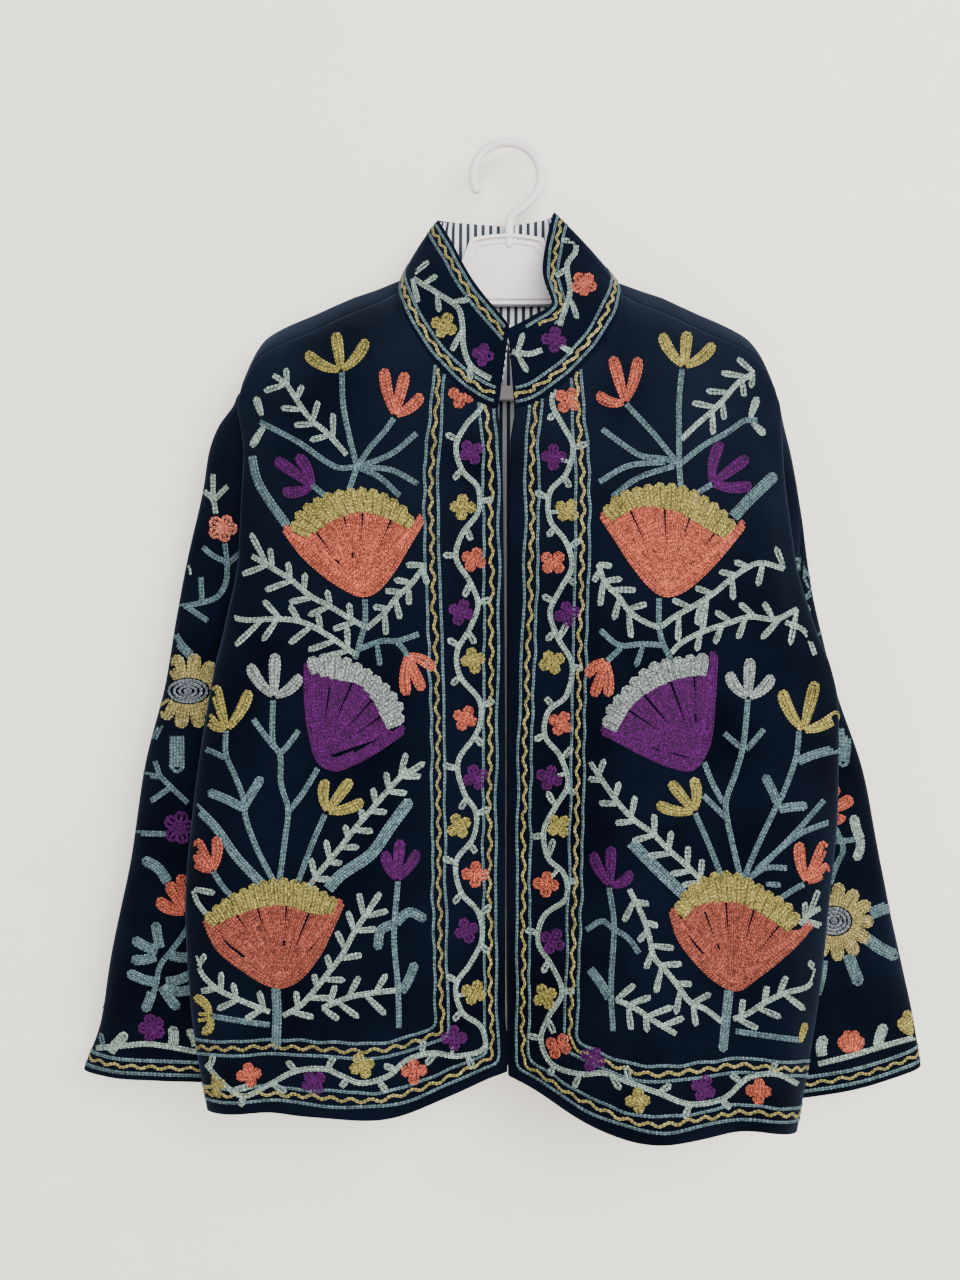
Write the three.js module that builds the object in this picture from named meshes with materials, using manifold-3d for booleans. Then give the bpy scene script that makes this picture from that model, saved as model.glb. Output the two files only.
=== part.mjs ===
// Hip-length velvet jacket with a stand collar, hanging on a one-piece plastic hanger.
// Millimetres, +Z up, the wearer faces -Y, "l" and "r" are the sides at -X and +X.
// The origin is the inner top of the hanger's hook, where a rail or a wall hook carries it.
//
// The cloth pieces are walls over one draped form: a front and a back surface given by
// horizontal sections, sleeves lofted from the armholes, and a collar ruled from the neckline.

import * as THREE from "three";
import { mergeVertices } from "three/addons/utils/BufferGeometryUtils.js";
import Module from "manifold-3d";

// ---- driving sizes -------------------------------------------------------------------

const CLOTH = 2.0; // velvet with its embroidery ground, as thick as it hangs
const LINING = 1.0; // striped cotton lining
const SEAM_GAP = 0.7; // between two pieces at a seam
const PART_GAP = 0.4; // between two nodes of one cloth piece
const SEAM_SHARE = 0.9984; // share of a panel's width at which it stops short of a side seam
const LAYER_GAP = 0.4; // between a panel and the lining behind it

const NECK_HALF = { l: 88, r: 92 }; // neck seam, half its width at the shoulder
const NECK_FRONT_Z = -229; // neck seam at the centre front
const NECK_BACK_Z = -118; // neck seam at the centre back
const NECK_CURVE = 1.5; // exponent of the front neckline's oval

const TIP_X = 217; // shoulder tip, where ridge and armhole meet
const TIP_Z = -205;
const BACK_ROLL = 15; // height over which the back rounds under the ridge

// Shoulder: ridge height, drop of the forward shoulder seam below it, and the height over
// which the front falls away from the ridge.
const SHOULDER = [
  { x: 0, ridge: -82, drop: 18, roll: 60 },
  { x: 86, ridge: -109, drop: 18, roll: 60 },
  { x: 93, ridge: -112, drop: 19, roll: 60 },
  { x: 100, ridge: -115, drop: 20, roll: 60 },
  { x: 122, ridge: -122, drop: 23, roll: 57 },
  { x: 155, ridge: -136.5, drop: 24, roll: 50 },
  { x: 188, ridge: -151.5, drop: 23, roll: 38 },
  { x: 198, ridge: -158.5, drop: 23, roll: 34 },
  { x: 203, ridge: -165, drop: 22, roll: 32 },
  { x: 208, ridge: -175.5, drop: 18, roll: 30 },
  { x: 214, ridge: -191, drop: 10, roll: 28 },
  { x: 217, ridge: -205, drop: 3, roll: 26 },
];

const UNDERARM_Z = -397;
const ARM_TOP_Y = -2; // armhole loop's middle depth at the tip
const ARM_LOW_Y = -14; // and at the underarm
const ARM_HALF = 20; // armhole loop's half depth
const ARM_CURVE = 2.5; // exponent of the loop

// Horizontal sections of the body. half_*: widest point of each front; seam_*: side seam or
// armhole edge, a little behind it; tuck_*: how far the back's side falls in behind the front.
// edge, chest, fold, wide, seam, tuck, back: depth (y) at the stations round the body.
const SECTIONS = [
  { z: -785, half_l: 226, half_r: 217, seam_l: 219, seam_r: 210, tuck_l: 160, tuck_r: 158, edge: -38, chest: -86, fold: -80, wide: -56, seam: -44, tuck: -31, back: 13 },
  { z: -684, half_l: 243, half_r: 236, seam_l: 236, seam_r: 229, tuck_l: 164, tuck_r: 162, edge: -40, chest: -80, fold: -80, wide: -55, seam: -44, tuck: -33, back: 14 },
  { z: -607, half_l: 247, half_r: 245, seam_l: 240, seam_r: 238, tuck_l: 164, tuck_r: 164, edge: -42, chest: -76, fold: -78, wide: -54, seam: -44, tuck: -34, back: 14 },
  { z: -530, half_l: 241, half_r: 252, seam_l: 234, seam_r: 245, tuck_l: 163, tuck_r: 168, edge: -44, chest: -72, fold: -76, wide: -54, seam: -44, tuck: -34, back: 14 },
  { z: -456, half_l: 231, half_r: 253, seam_l: 225, seam_r: 246, tuck_l: 170, tuck_r: 178, edge: -48, chest: -70, fold: -73, wide: -52, seam: -43, tuck: -33, back: 13 },
  { z: -424, half_l: 225, half_r: 248, seam_l: 217, seam_r: 239, tuck_l: 184, tuck_r: 198, edge: -50, chest: -69, fold: -70, wide: -49, seam: -38, tuck: -25, back: 12 },
  { z: -397, half_l: 219, half_r: 239, seam_l: 206, seam_r: 226, tuck_l: 203, tuck_r: 223, edge: -52, chest: -68, fold: -67, wide: -44, seam: -14, tuck: -6, back: 12 },
  { z: -336, half_l: 208, half_r: 221, seam_l: 206, seam_r: 219, tuck_l: 203, tuck_r: 216, edge: -56, chest: -66, fold: -60, wide: -45, seam: -28, tuck: -6, back: 12 },
  { z: -262, half_l: 207, half_r: 214, seam_l: 206, seam_r: 213, tuck_l: 203, tuck_r: 210, edge: -60, chest: -63, fold: -52, wide: -38, seam: -28, tuck: -6, back: 12 },
  { z: -205, half_l: 217, half_r: 217, seam_l: 216, seam_r: 216, tuck_l: 213, tuck_r: 213, edge: -61, chest: -57, fold: -40, wide: -22, seam: -16, tuck: -6, back: 12 },
  { z: -105, half_l: 217, half_r: 217, seam_l: 216, seam_r: 216, tuck_l: 213, tuck_r: 213, edge: -52, chest: -44, fold: -30, wide: -16, seam: -12, tuck: -6, back: 12 },
];
const FRONT_STATIONS = [0, 0.45, 0.77, 0.92, 1]; // edge, chest, fold, wide, seam
const CHEST_SHARE = 0.43; // of the half width
const FOLD_SHARE = 0.82;
const BACK_STATIONS = [0, 0.2, 0.34, 0.52, 1]; // seam, tuck, corner, blade, centre back
const CORNER_SHARE = 0.93; // of the tuck
const BLADE_SHARE = 0.74;

// Front edges: how far each stands out from the middle. They nearly meet at the hem.
const EDGES = [
  { z: -785, l: 0.9, r: 0.1 },
  { z: -735, l: 1.1, r: 0.1 },
  { z: -690, l: 2.6, r: 0.3 },
  { z: -480, l: 3.2, r: 0.4 },
  { z: -343, l: 4.7, r: 1.4 },
  { z: -255, l: 6.3, r: 1.8 },
  { z: -229, l: 9.2, r: 5.0 },
  { z: -115, l: 9.2, r: 5.0 },
];
const RIGHT_SWING = 0.1; // the right front stands this much further out at the hem

// Hem height at the same five stations and at the centre back.
const HEM = {
  l: { edge: -741, chest: -754, fold: -755.5, wide: -762, seam: -764, tuck: -762, back: -757 },
  r: { edge: -744, chest: -766, fold: -766, wide: -777, seam: -777, tuck: -770, back: -757 },
};

// Soft folds: x from the middle where they start and where they would reach the foot, height
// of both, half width, and how far they stand out. They fade in and, before the foot, out.
const FOLDS_FRONT = [
  { side: -1, x_top: 58, x_foot: 118, top: -290, foot: -930, width: 26, out: 6 },
  { side: -1, x_top: 168, x_foot: 184, top: -410, foot: -960, width: 20, out: -6 },
  { side: -1, x_top: 186, x_foot: 170, top: -215, foot: -360, width: 14, out: 3 },
  { side: 1, x_top: 54, x_foot: 126, top: -290, foot: -930, width: 26, out: 8 },
  { side: 1, x_top: 152, x_foot: 178, top: -400, foot: -960, width: 22, out: -7 },
  { side: 1, x_top: 180, x_foot: 206, top: -195, foot: -440, width: 13, out: 6 },
];
const FOLDS_BACK = [
  { side: -1, x_top: 50, x_foot: 92, top: -230, foot: -960, width: 26, out: 5 },
  { side: -1, x_top: 112, x_foot: 138, top: -320, foot: -960, width: 22, out: -5 },
  { side: 1, x_top: 36, x_foot: 74, top: -260, foot: -960, width: 24, out: 4 },
  { side: 1, x_top: 104, x_foot: 132, top: -300, foot: -960, width: 22, out: -5 },
];

// Sleeve rings from the armhole to the cuff: the outer and the inner point of each ring, the
// middle depth at both, and the half depth. The sides differ because the jacket hangs askew.
const SLEEVE_L = [
  { out_x: 217, out_z: -205, in_x: 206, in_z: -397, mid: -8, in_mid: -8, half: 20 },
  { out_x: 236, out_z: -228, in_x: 209, in_z: -396, mid: -4, in_mid: -3, half: 19 },
  { out_x: 246, out_z: -283, in_x: 211, in_z: -399, mid: -3, in_mid: 1, half: 19 },
  { out_x: 258, out_z: -338, in_x: 208, in_z: -412, mid: -3, in_mid: 3, half: 19 },
  { out_x: 267, out_z: -388, in_x: 197, in_z: -434, mid: -4, in_mid: 1, half: 19 },
  { out_x: 276, out_z: -440, in_x: 184, in_z: -466, mid: -5, in_mid: -3, half: 19 },
  { out_x: 292, out_z: -508, in_x: 176, in_z: -522, mid: -8, in_mid: -7, half: 22 },
  { out_x: 304, out_z: -590, in_x: 177, in_z: -600, mid: -8, in_mid: -8, half: 22 },
  { out_x: 319, out_z: -664, in_x: 180, in_z: -676, mid: -8, in_mid: -8, half: 21 },
  { out_x: 327, out_z: -712, in_x: 183, in_z: -722, mid: -9, in_mid: -9, half: 19 },
  { out_x: 341, out_z: -751, in_x: 187, in_z: -756, mid: -9, in_mid: -9, half: 17 },
];
const SLEEVE_R = [
  { out_x: 217, out_z: -205, in_x: 226, in_z: -397, mid: -8, in_mid: -8, half: 20 },
  { out_x: 226, out_z: -240, in_x: 229, in_z: -395, mid: -4, in_mid: -2, half: 19 },
  { out_x: 233, out_z: -290, in_x: 232, in_z: -398, mid: -3, in_mid: 3, half: 18 },
  { out_x: 242, out_z: -350, in_x: 228, in_z: -411, mid: -3, in_mid: 4, half: 17 },
  { out_x: 255, out_z: -404, in_x: 212, in_z: -437, mid: -4, in_mid: 2, half: 18 },
  { out_x: 267, out_z: -450, in_x: 195, in_z: -470, mid: -5, in_mid: -2, half: 19 },
  { out_x: 286, out_z: -513, in_x: 184, in_z: -530, mid: -8, in_mid: -7, half: 22 },
  { out_x: 301, out_z: -594, in_x: 180, in_z: -614, mid: -8, in_mid: -8, half: 22 },
  { out_x: 317, out_z: -662, in_x: 180, in_z: -688, mid: -8, in_mid: -8, half: 21 },
  { out_x: 327, out_z: -710, in_x: 181, in_z: -737, mid: -9, in_mid: -9, half: 19 },
  { out_x: 333, out_z: -748, in_x: 183, in_z: -777, mid: -9, in_mid: -9, half: 17 },
];
const SLEEVE_GAP = 1.8; // sleeve head from the armhole edge

// Collar top edge: share of the way from centre front to centre back, and the place there.
const COLLAR_TOP_L = [
  { at: 0, x: 1.4, y: -68, z: -168 },
  { at: 0.28, x: 29, y: -44, z: -124 },
  { at: 0.5, x: 49, y: -18, z: -79 },
  { at: 0.6, x: 57, y: -5, z: -62.5 },
  { at: 0.74, x: 44, y: 7, z: -60 },
  { at: 1, x: 0, y: 11, z: -62 },
];
const COLLAR_TOP_R = [
  { at: 0, x: 0.2, y: -68, z: -171 },
  { at: 0.2, x: 19, y: -60, z: -158 },
  { at: 0.34, x: 34, y: -50, z: -143 },
  { at: 0.43, x: 28, y: -32, z: -113 },
  { at: 0.52, x: 33, y: -16, z: -79 },
  { at: 0.61, x: 39, y: -5, z: -56 },
  { at: 0.75, x: 35, y: 7, z: -57 },
  { at: 1, x: 0, y: 11, z: -62 },
];
const COLLAR_SHARE = { front: 0.56, side: 0.65 }; // where the neckline turns from front to side to back
const COLLAR_HEIGHT = 62;
const COLLAR_BELLY = 3; // how far the stand bows out at half its height
const COLLAR_RISE = 1.2; // collar's foot above the neck seam line
const COLLAR_LINING_RISE = 4; // and the foot of its lining

// Grid steps.
const FRONT_NECK_COLUMNS = [0, 0.1, 0.26, 0.44, 0.62, 0.8]; // shares of the width under the neck seam
const FRONT_COLUMNS = [0.53, 0.61, 0.69, 0.77, 0.82, 0.87, 0.92, 0.96, 1]; // shares of the whole width beyond it
const LEVELS = [-728, -686, -646, -607, -566, -526, -490, -462, -442, -426, -414, -405, -397, -390, -378, -356, -328, -297]; // rows both panels share
const FRONT_TOP_ROWS = 7;
const BACK_COLUMNS = [0, 0.05, 0.12, 0.2, 0.27, 0.34, 0.43, 0.52]; // from the side seam to the blade
const BACK_NECK_COLUMNS = [1, 0.9, 0.68, 0.34, 0]; // from there to the centre, shares of the neck's half
const BACK_TOP_ROWS = 3;
const BACK_OVER = 3; // rows from the ridge to the forward shoulder seam
const RIDGE_ROWS = [14, 7, 2.5, 0]; // last rows of the back, mm below the ridge
const BACK_ROWS = LEVELS.length + BACK_TOP_ROWS + RIDGE_ROWS.length;
const SIDE_FOLD = { columns: 7, rows: 14 }; // part of the back's grid, up to its blade, that folds in behind a front
const TIP_COLUMNS = 4; // columns at the shoulder tip, where the part over the shoulder stops short
const SLEEVE_STEPS = { round: 20, along: 18 };
const COLLAR_STEPS = { across: 30, up: 4 };
const LINING_SKIP = { side: 4, foot: 1, top: 2 }; // columns and rows by which the back's lining stops short

// Hanger.
const HANGER = {
  hookRadius: 27.7, hookHalf: 3.75, hookDepth: 6, // centreline radius and section of the hook
  tipAngle: 203, rootAngle: -38, // degrees, where the hook's round part ends
  depth: 7, // arms and bar, front to back
  armDrop: 7, armHeight: 12, armRoot: 90, armEnd: 180, // top edge under the ridge, height, where it rounds off
  barTop: -196.5, barFoot: -208,
  plateTop: -72, plateFoot: -130, plateTopHalf: 30, plateFootHalf: 54,
  rim: 4.5, recess: 2.4, // raised rim round the neck plate and how far the plate sinks
  endX: 199, endTop: -170, endRound: 9,
};

const COLOURS = {
  velvet: 0x0b1420, lining: 0xbfc0c4, hanger: 0xd9d0d2, thread: 0xb9c4b6,
};

// ---- small maths ---------------------------------------------------------------------

const clamp01 = (t) => Math.min(1, Math.max(0, t));
const mix = (a, b, t) => a + (b - a) * t;
const smooth = (t) => clamp01(t) ** 2 * (3 - 2 * clamp01(t));
const superRoot = (t, n) => Math.pow(Math.max(0, 1 - Math.abs(t) ** n), 1 / n);

// Monotone cubic through (xs, ys): never passes its own points, so a widest point stays widest.
function curveThrough(xs, ys) {
  const slope = xs.slice(1).map((x, i) => (ys[i + 1] - ys[i]) / (x - xs[i]));
  const tangent = xs.map((_, i) => {
    if (i === 0) return slope[0];
    if (i === xs.length - 1) return slope[i - 1];
    if (slope[i - 1] * slope[i] <= 0) return 0;
    const before = xs[i] - xs[i - 1];
    const after = xs[i + 1] - xs[i];
    const w1 = 2 * after + before;
    const w2 = after + 2 * before;
    return (w1 + w2) / (w1 / slope[i - 1] + w2 / slope[i]);
  });
  return (x) => {
    let i = 0;
    while (i < xs.length - 2 && x > xs[i + 1]) i++;
    const h = xs[i + 1] - xs[i];
    const t = clamp01((x - xs[i]) / h);
    const s = 1 - t;
    return (
      ys[i] * (1 + 2 * t) * s * s + tangent[i] * h * t * s * s +
      ys[i + 1] * t * t * (3 - 2 * t) - tangent[i + 1] * h * t * t * s
    );
  };
}

// Where a rising function reaches a value, between two shares.
function shareAt(rising, value, low, high) {
  for (let n = 0; n < 30; n++) {
    const middle = (low + high) / 2;
    if (rising(middle) < value) low = middle;
    else high = middle;
  }
  return (low + high) / 2;
}

// A table of rows as one curve for each column, over the named key column.
function columnsOf(rows, key) {
  const at = rows.map((r) => r[key]);
  const curves = Object.fromEntries(
    Object.keys(rows[0]).filter((k) => k !== key).map((k) => [k, curveThrough(at, rows.map((r) => r[k]))]),
  );
  return (x) => Object.fromEntries(Object.entries(curves).map(([k, f]) => [k, f(x)]));
}

const section = columnsOf(SECTIONS, "z");
const shoulder = columnsOf(SHOULDER, "x");
const edges = columnsOf(EDGES, "z");
const sideName = (side) => (side < 0 ? "l" : "r");

// ---- the draped form -----------------------------------------------------------------

function ridgeZ(x) {
  return shoulder(Math.abs(x)).ridge;
}

function shoulderSeamZ(x) {
  const s = shoulder(Math.abs(x));
  return s.ridge - s.drop;
}

function edgeX(side, z) {
  return edges(z)[sideName(side)];
}

// Armhole loop: its middle depth and half depth at a height.
function armhole(z) {
  const t = (z - (TIP_Z + UNDERARM_Z) / 2) / ((TIP_Z - UNDERARM_Z) / 2);
  const middle = mix(ARM_LOW_Y, ARM_TOP_Y, clamp01((t + 1) / 2));
  return { middle, half: Math.abs(t) < 1 ? ARM_HALF * superRoot(t, ARM_CURVE) : 0 };
}

function foldsAt(folds, side, x, z) {
  let out = 0;
  for (const f of folds) {
    if (f.side !== side) continue;
    const down = (f.top - z) / (f.top - f.foot);
    const across = (x - mix(f.x_top, f.x_foot, clamp01(down))) / f.width;
    out += f.out * smooth(down * 3) * smooth((1 - down) * 4) * Math.exp(-across * across);
  }
  return out;
}

// Point of a front at u (0 at its edge, 1 at the side seam or armhole) and height z.
function frontPoint(side, u, z) {
  const s = section(z);
  const half = s["half_" + sideName(side)];
  const seam = s["seam_" + sideName(side)];
  const inArmhole = z > UNDERARM_Z;
  const loop = armhole(Math.min(z, TIP_Z));
  const swing = side > 0 ? 1 + RIGHT_SWING * smooth((-300 - z) / 400) : 1;
  const lastY = inArmhole ? loop.middle - loop.half : s.seam;
  const xs = [edgeX(side, z), CHEST_SHARE * half, FOLD_SHARE * half, half, seam];
  const ys = [s.edge, s.chest * swing, s.fold * swing, s.wide, lastY];
  const x = curveThrough(FRONT_STATIONS, xs)(u);
  let y = curveThrough(FRONT_STATIONS, ys)(u);
  const held = smooth(u / 0.12) * smooth((1 - u) / 0.16);
  y -= foldsAt(FOLDS_FRONT, side, x, z) * held;
  const top = shoulder(x);
  const roll = clamp01((top.ridge - z) / top.roll);
  return new THREE.Vector3(side * x, y * roll * (2 - roll), z);
}

// Point of the back at f (0 at the side seam or armhole, 1 at the centre back) and height z.
function backPoint(side, f, z) {
  const s = section(z);
  const seam = s["seam_" + sideName(side)];
  const inArmhole = z > UNDERARM_Z;
  const loop = armhole(Math.min(z, TIP_Z));
  const firstY = inArmhole ? loop.middle + loop.half : s.seam;
  const tuck = s["tuck_" + sideName(side)];
  const tuckY = inArmhole ? mix(firstY, s.back, 0.3) : s.tuck;
  const xs = [seam, tuck, CORNER_SHARE * tuck, BLADE_SHARE * tuck, 0];
  const ys = [firstY, tuckY, mix(tuckY, s.back, 0.75), s.back, s.back];
  const x = curveThrough(BACK_STATIONS, xs)(f);
  let y = curveThrough(BACK_STATIONS, ys)(f);
  y += foldsAt(FOLDS_BACK, side, x, z) * smooth((f - BACK_STATIONS[2]) / 0.2);
  const below = Math.max(0, ridgeZ(x) - z);
  const roll = clamp01(below / BACK_ROLL);
  return new THREE.Vector3(side * x, y * Math.sqrt(roll * (2 - roll)), z);
}

function frontHemZ(side, u) {
  const h = HEM[sideName(side)];
  return curveThrough(FRONT_STATIONS, [h.edge, h.chest, h.fold, h.wide, h.seam])(u);
}

function backHemZ(side, f) {
  const h = HEM[sideName(side)];
  return curveThrough([0, BACK_STATIONS[1], 1], [h.seam, h.tuck, h.back])(f);
}

function necklineZ(side, x) {
  const start = edgeX(side, NECK_FRONT_Z);
  const half = NECK_HALF[sideName(side)];
  const t = clamp01((x - start) / (half - start));
  const low = shoulderSeamZ(half);
  return low - (low - NECK_FRONT_Z) * superRoot(t, NECK_CURVE);
}

// ---- walls from grids ----------------------------------------------------------------

// Outward direction at every point of a sheet, from its cells; some may be given beforehand.
// Cells are [a, b, c, d] point numbers, counter-clockwise from outside.
function outward(points, cells, given = new Map()) {
  const normals = points.map(() => new THREE.Vector3());
  for (const [a, b, c, d] of cells) {
    const across = points[c].clone().sub(points[a]);
    const n = across.cross(points[d].clone().sub(points[b]));
    for (const i of new Set([a, b, c, d])) normals[i].add(n);
  }
  return normals.map((n, i) => given.get(i) ?? n.normalize());
}

// Closed wall between two depths under a sheet of outer points.
function wall(points, cells, normals, near, far) {
  const n = points.length;
  const position = [near, far].flatMap((depth) =>
    points.flatMap((p, i) => p.clone().addScaledVector(normals[i], -depth).toArray()),
  );
  const index = [];
  const uses = new Map();
  for (const [a, b, c, d] of cells) {
    for (const [p, q, r] of [[a, b, c], [a, c, d]]) {
      index.push(p, q, r, n + p, n + r, n + q);
      for (const [v, w] of [[p, q], [q, r], [r, p]]) {
        if (uses.has(w + "," + v)) uses.delete(w + "," + v);
        else uses.set(v + "," + w, [v, w]);
      }
    }
  }
  for (const [v, w] of uses.values()) index.push(w, v, n + v, w, n + v, n + w);
  const geometry = new THREE.BufferGeometry();
  geometry.setAttribute("position", new THREE.Float32BufferAttribute(position, 3));
  geometry.setIndex(index);
  return geometry;
}

// Cells of a grid of (across + 1) by (up + 1) points, numbered across first.
function gridCells(across, up, turn, keep = () => true) {
  const cells = [];
  const at = (i, j) => j * (across + 1) + i;
  for (let j = 0; j < up; j++) {
    for (let i = 0; i < across; i++) {
      if (!keep(i, j)) continue;
      const cell = [at(i + 1, j), at(i + 1, j + 1), at(i, j + 1), at(i, j)];
      cells.push(turn ? cell.reverse() : cell);
    }
  }
  return cells;
}

// Outward direction of the body at its side seam, shared by the front and the back.
function seamNormal(side, z) {
  const across = backPoint(side, 0.02, z).sub(frontPoint(side, 0.985, z));
  const up = frontPoint(side, 1, z + 4).sub(frontPoint(side, 1, z - 4));
  return across.cross(up).multiplyScalar(side).normalize();
}

// Height of row j: the hem, then the shared levels, then even steps up to the top.
function rowZ(j, foot, top, topRows) {
  if (j === 0) return foot;
  if (j <= LEVELS.length) return LEVELS[j - 1];
  return mix(LEVELS[LEVELS.length - 1], top, (j - LEVELS.length) / topRows);
}

// The front's columns: share of the width, and distance from the middle at the top.
function frontColumns(side) {
  const atTop = (u) => {
    const start = edgeX(side, NECK_FRONT_Z);
    const x = (share) => frontPoint(side, share, NECK_FRONT_Z).x * side;
    return mix(start, TIP_X, (x(u) - start) / (x(1) - start));
  };
  const neck = shareAt((u) => atTop(u), NECK_HALF[sideName(side)], 0, FRONT_STATIONS[3]);
  const shares = [...FRONT_NECK_COLUMNS.map((k) => k * neck), neck, ...FRONT_COLUMNS];
  return shares.map((u) => ({ u, x: u === neck ? NECK_HALF[sideName(side)] : Math.min(atTop(u), TIP_X) }));
}

function frontGeometry(side) {
  const columns = frontColumns(side);
  const last = columns.length - 1;
  const rowCount = LEVELS.length + FRONT_TOP_ROWS;
  const points = [];
  const given = new Map();
  for (let j = 0; j <= rowCount; j++) {
    columns.forEach(({ u, x }, i) => {
      const seam = i < last && x < NECK_HALF[sideName(side)] ? necklineZ(side, x) : shoulderSeamZ(x);
      const z = rowZ(j, frontHemZ(side, u), seam - SEAM_GAP / 2, FRONT_TOP_ROWS);
      if (i === last && z < UNDERARM_Z + 4) given.set(points.length, seamNormal(side, z));
      points.push(frontPoint(side, Math.min(u, SEAM_SHARE), z));
    });
  }
  const cells = gridCells(last, rowCount, side < 0);
  return wall(points, cells, outward(points, cells, given), 0, CLOTH);
}

function backNeckZ(side, x) {
  const half = NECK_HALF[sideName(side)];
  return mix(NECK_BACK_Z, ridgeZ(half), smooth(x / half));
}

// The back's columns from the left side seam to the right one, with the height of their tops.
function backColumns() {
  const half = (side) => {
    const neck = NECK_HALF[sideName(side)];
    const shares = BACK_NECK_COLUMNS.map((share) => backShareAt(side, share * neck));
    return [...BACK_COLUMNS, ...shares].map((f, i) => {
      const x = i < BACK_COLUMNS.length ? backPoint(side, f, TIP_Z).x * side : neck * BACK_NECK_COLUMNS[i - BACK_COLUMNS.length];
      const inNeck = i > BACK_COLUMNS.length;
      const top = inNeck ? backNeckZ(side, x) : ridgeZ(x);
      return { side, f: Math.max(f, 1 - SEAM_SHARE), x, inNeck, top };
    });
  };
  return [...half(-1), ...half(1).slice(0, -1).reverse()];
}

// Share of the back's width at which it stands x from the centre, at the shoulder.
function backShareAt(side, x) {
  return shareAt((f) => -backPoint(side, f, TIP_Z).x * side, -x, 0, 1);
}

// Outer points of the back, in rows from the hem over the ridge to the shoulder seam.
function backSheet() {
  const columns = backColumns();
  const last = columns.length - 1;
  const low = LEVELS.length + BACK_TOP_ROWS;
  const points = [];
  const given = new Map();
  for (let j = 0; j <= BACK_ROWS; j++) {
    columns.forEach((c, i) => {
      const z = j <= low
        ? rowZ(j, backHemZ(c.side, c.f), c.top - RIDGE_ROWS[0] * 1.6, BACK_TOP_ROWS)
        : c.top - RIDGE_ROWS[j - low - 1];
      if ((i === 0 || i === last) && z < UNDERARM_Z + 4) given.set(points.length, seamNormal(c.side, z));
      points.push(backPoint(c.side, c.f, z));
    });
  }
  for (let j = 1; j <= BACK_OVER; j++) {
    for (const c of columns) {
      const z = mix(ridgeZ(c.x), shoulderSeamZ(c.x) + SEAM_GAP / 2, j / BACK_OVER);
      points.push(c.inNeck ? new THREE.Vector3(c.side * c.x, 0, c.top) : frontAt(c.side, c.x, z));
    }
  }
  const keep = (i, j) => j < BACK_ROWS || (!columns[i].inNeck && !columns[i + 1].inNeck);
  const cellsOf = (choose) => gridCells(last, BACK_ROWS + BACK_OVER, true, (i, j) => keep(i, j) && choose(i, j));
  return { points, cellsOf, normals: outward(points, cellsOf(() => true), given), across: last };
}

// The back is one cloth piece in five nodes, each of which bends one way only: the panel, the
// folds at its two sides, and its two ends over the shoulders.
function backPartAt(i, j, across) {
  const end = i < across / 2 ? "l" : "r";
  const fromSide = Math.min(i, across - 1 - i);
  if (j >= BACK_ROWS && fromSide >= TIP_COLUMNS) return "shoulder_" + end;
  return j < SIDE_FOLD.rows && fromSide < SIDE_FOLD.columns ? "side_" + end : "panel";
}

function backGeometry(part) {
  const { points, cellsOf, normals, across } = backSheet();
  const cells = cellsOf((i, j) => backPartAt(i, j, across) === part);
  const elsewhere = new Set(cellsOf((i, j) => backPartAt(i, j, across) !== part).flat());
  const inwards = new Map();
  for (const cell of cells) {
    for (const v of cell.filter((k) => elsewhere.has(k))) {
      for (const w of cell.filter((k) => !elsewhere.has(k))) {
        inwards.set(v, (inwards.get(v) ?? new THREE.Vector3()).add(points[w].clone().sub(points[v])));
      }
    }
  }
  for (const [v, way] of inwards) points[v].addScaledVector(way.normalize(), PART_GAP / 2);
  return wall(points, cells, normals, 0, CLOTH);
}

// Point of a front at a distance x from the middle, where the front is a plain height field.
function frontAt(side, x, z) {
  return frontPoint(side, shareAt((u) => frontPoint(side, u, z).x * side, x, 0, FRONT_STATIONS[3]), z);
}

// ---- sleeves -------------------------------------------------------------------------

function sleeveRing(side, table, t, turn) {
  const r = table(t);
  const c = Math.cos(turn);
  const s = Math.sin(turn);
  const curve = mix(ARM_CURVE, 2, smooth(t / 0.3));
  const along = Math.sign(c) * Math.abs(c) ** (2 / curve);
  const deep = Math.sign(s) * Math.abs(s) ** (2 / curve);
  const x = mix(r.in_x, r.out_x, (along + 1) / 2);
  const z = mix(r.in_z, r.out_z, (along + 1) / 2);
  const loop = armhole(z);
  const head = 1 - smooth(t / 0.16);
  const middle = mix(mix(r.in_mid, r.mid, (along + 1) / 2), loop.middle, head);
  const edge = section(z)["seam_" + sideName(side)] + SLEEVE_GAP;
  return new THREE.Vector3(side * mix(x, edge + t * 60, head), middle - deep * r.half, z);
}

function sleeveGeometry(side, rows) {
  const { round, along } = SLEEVE_STEPS;
  const keyed = rows.map((r, i) => ({ ...r, at: i / (rows.length - 1) }));
  const table = columnsOf(keyed, "at");
  const points = [];
  for (let j = 0; j <= along; j++) {
    for (let i = 0; i < round; i++) {
      points.push(sleeveRing(side, table, j / along, (2 * Math.PI * i) / round));
    }
  }
  const cells = [];
  for (let j = 0; j < along; j++) {
    for (let i = 0; i < round; i++) {
      const k = (i + 1) % round;
      const cell = [j * round + i, j * round + k, (j + 1) * round + k, (j + 1) * round + i];
      cells.push(side < 0 ? cell : cell.reverse());
    }
  }
  return wall(points, cells, outward(points, cells), 0, CLOTH);
}

// ---- collar --------------------------------------------------------------------------

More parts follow.
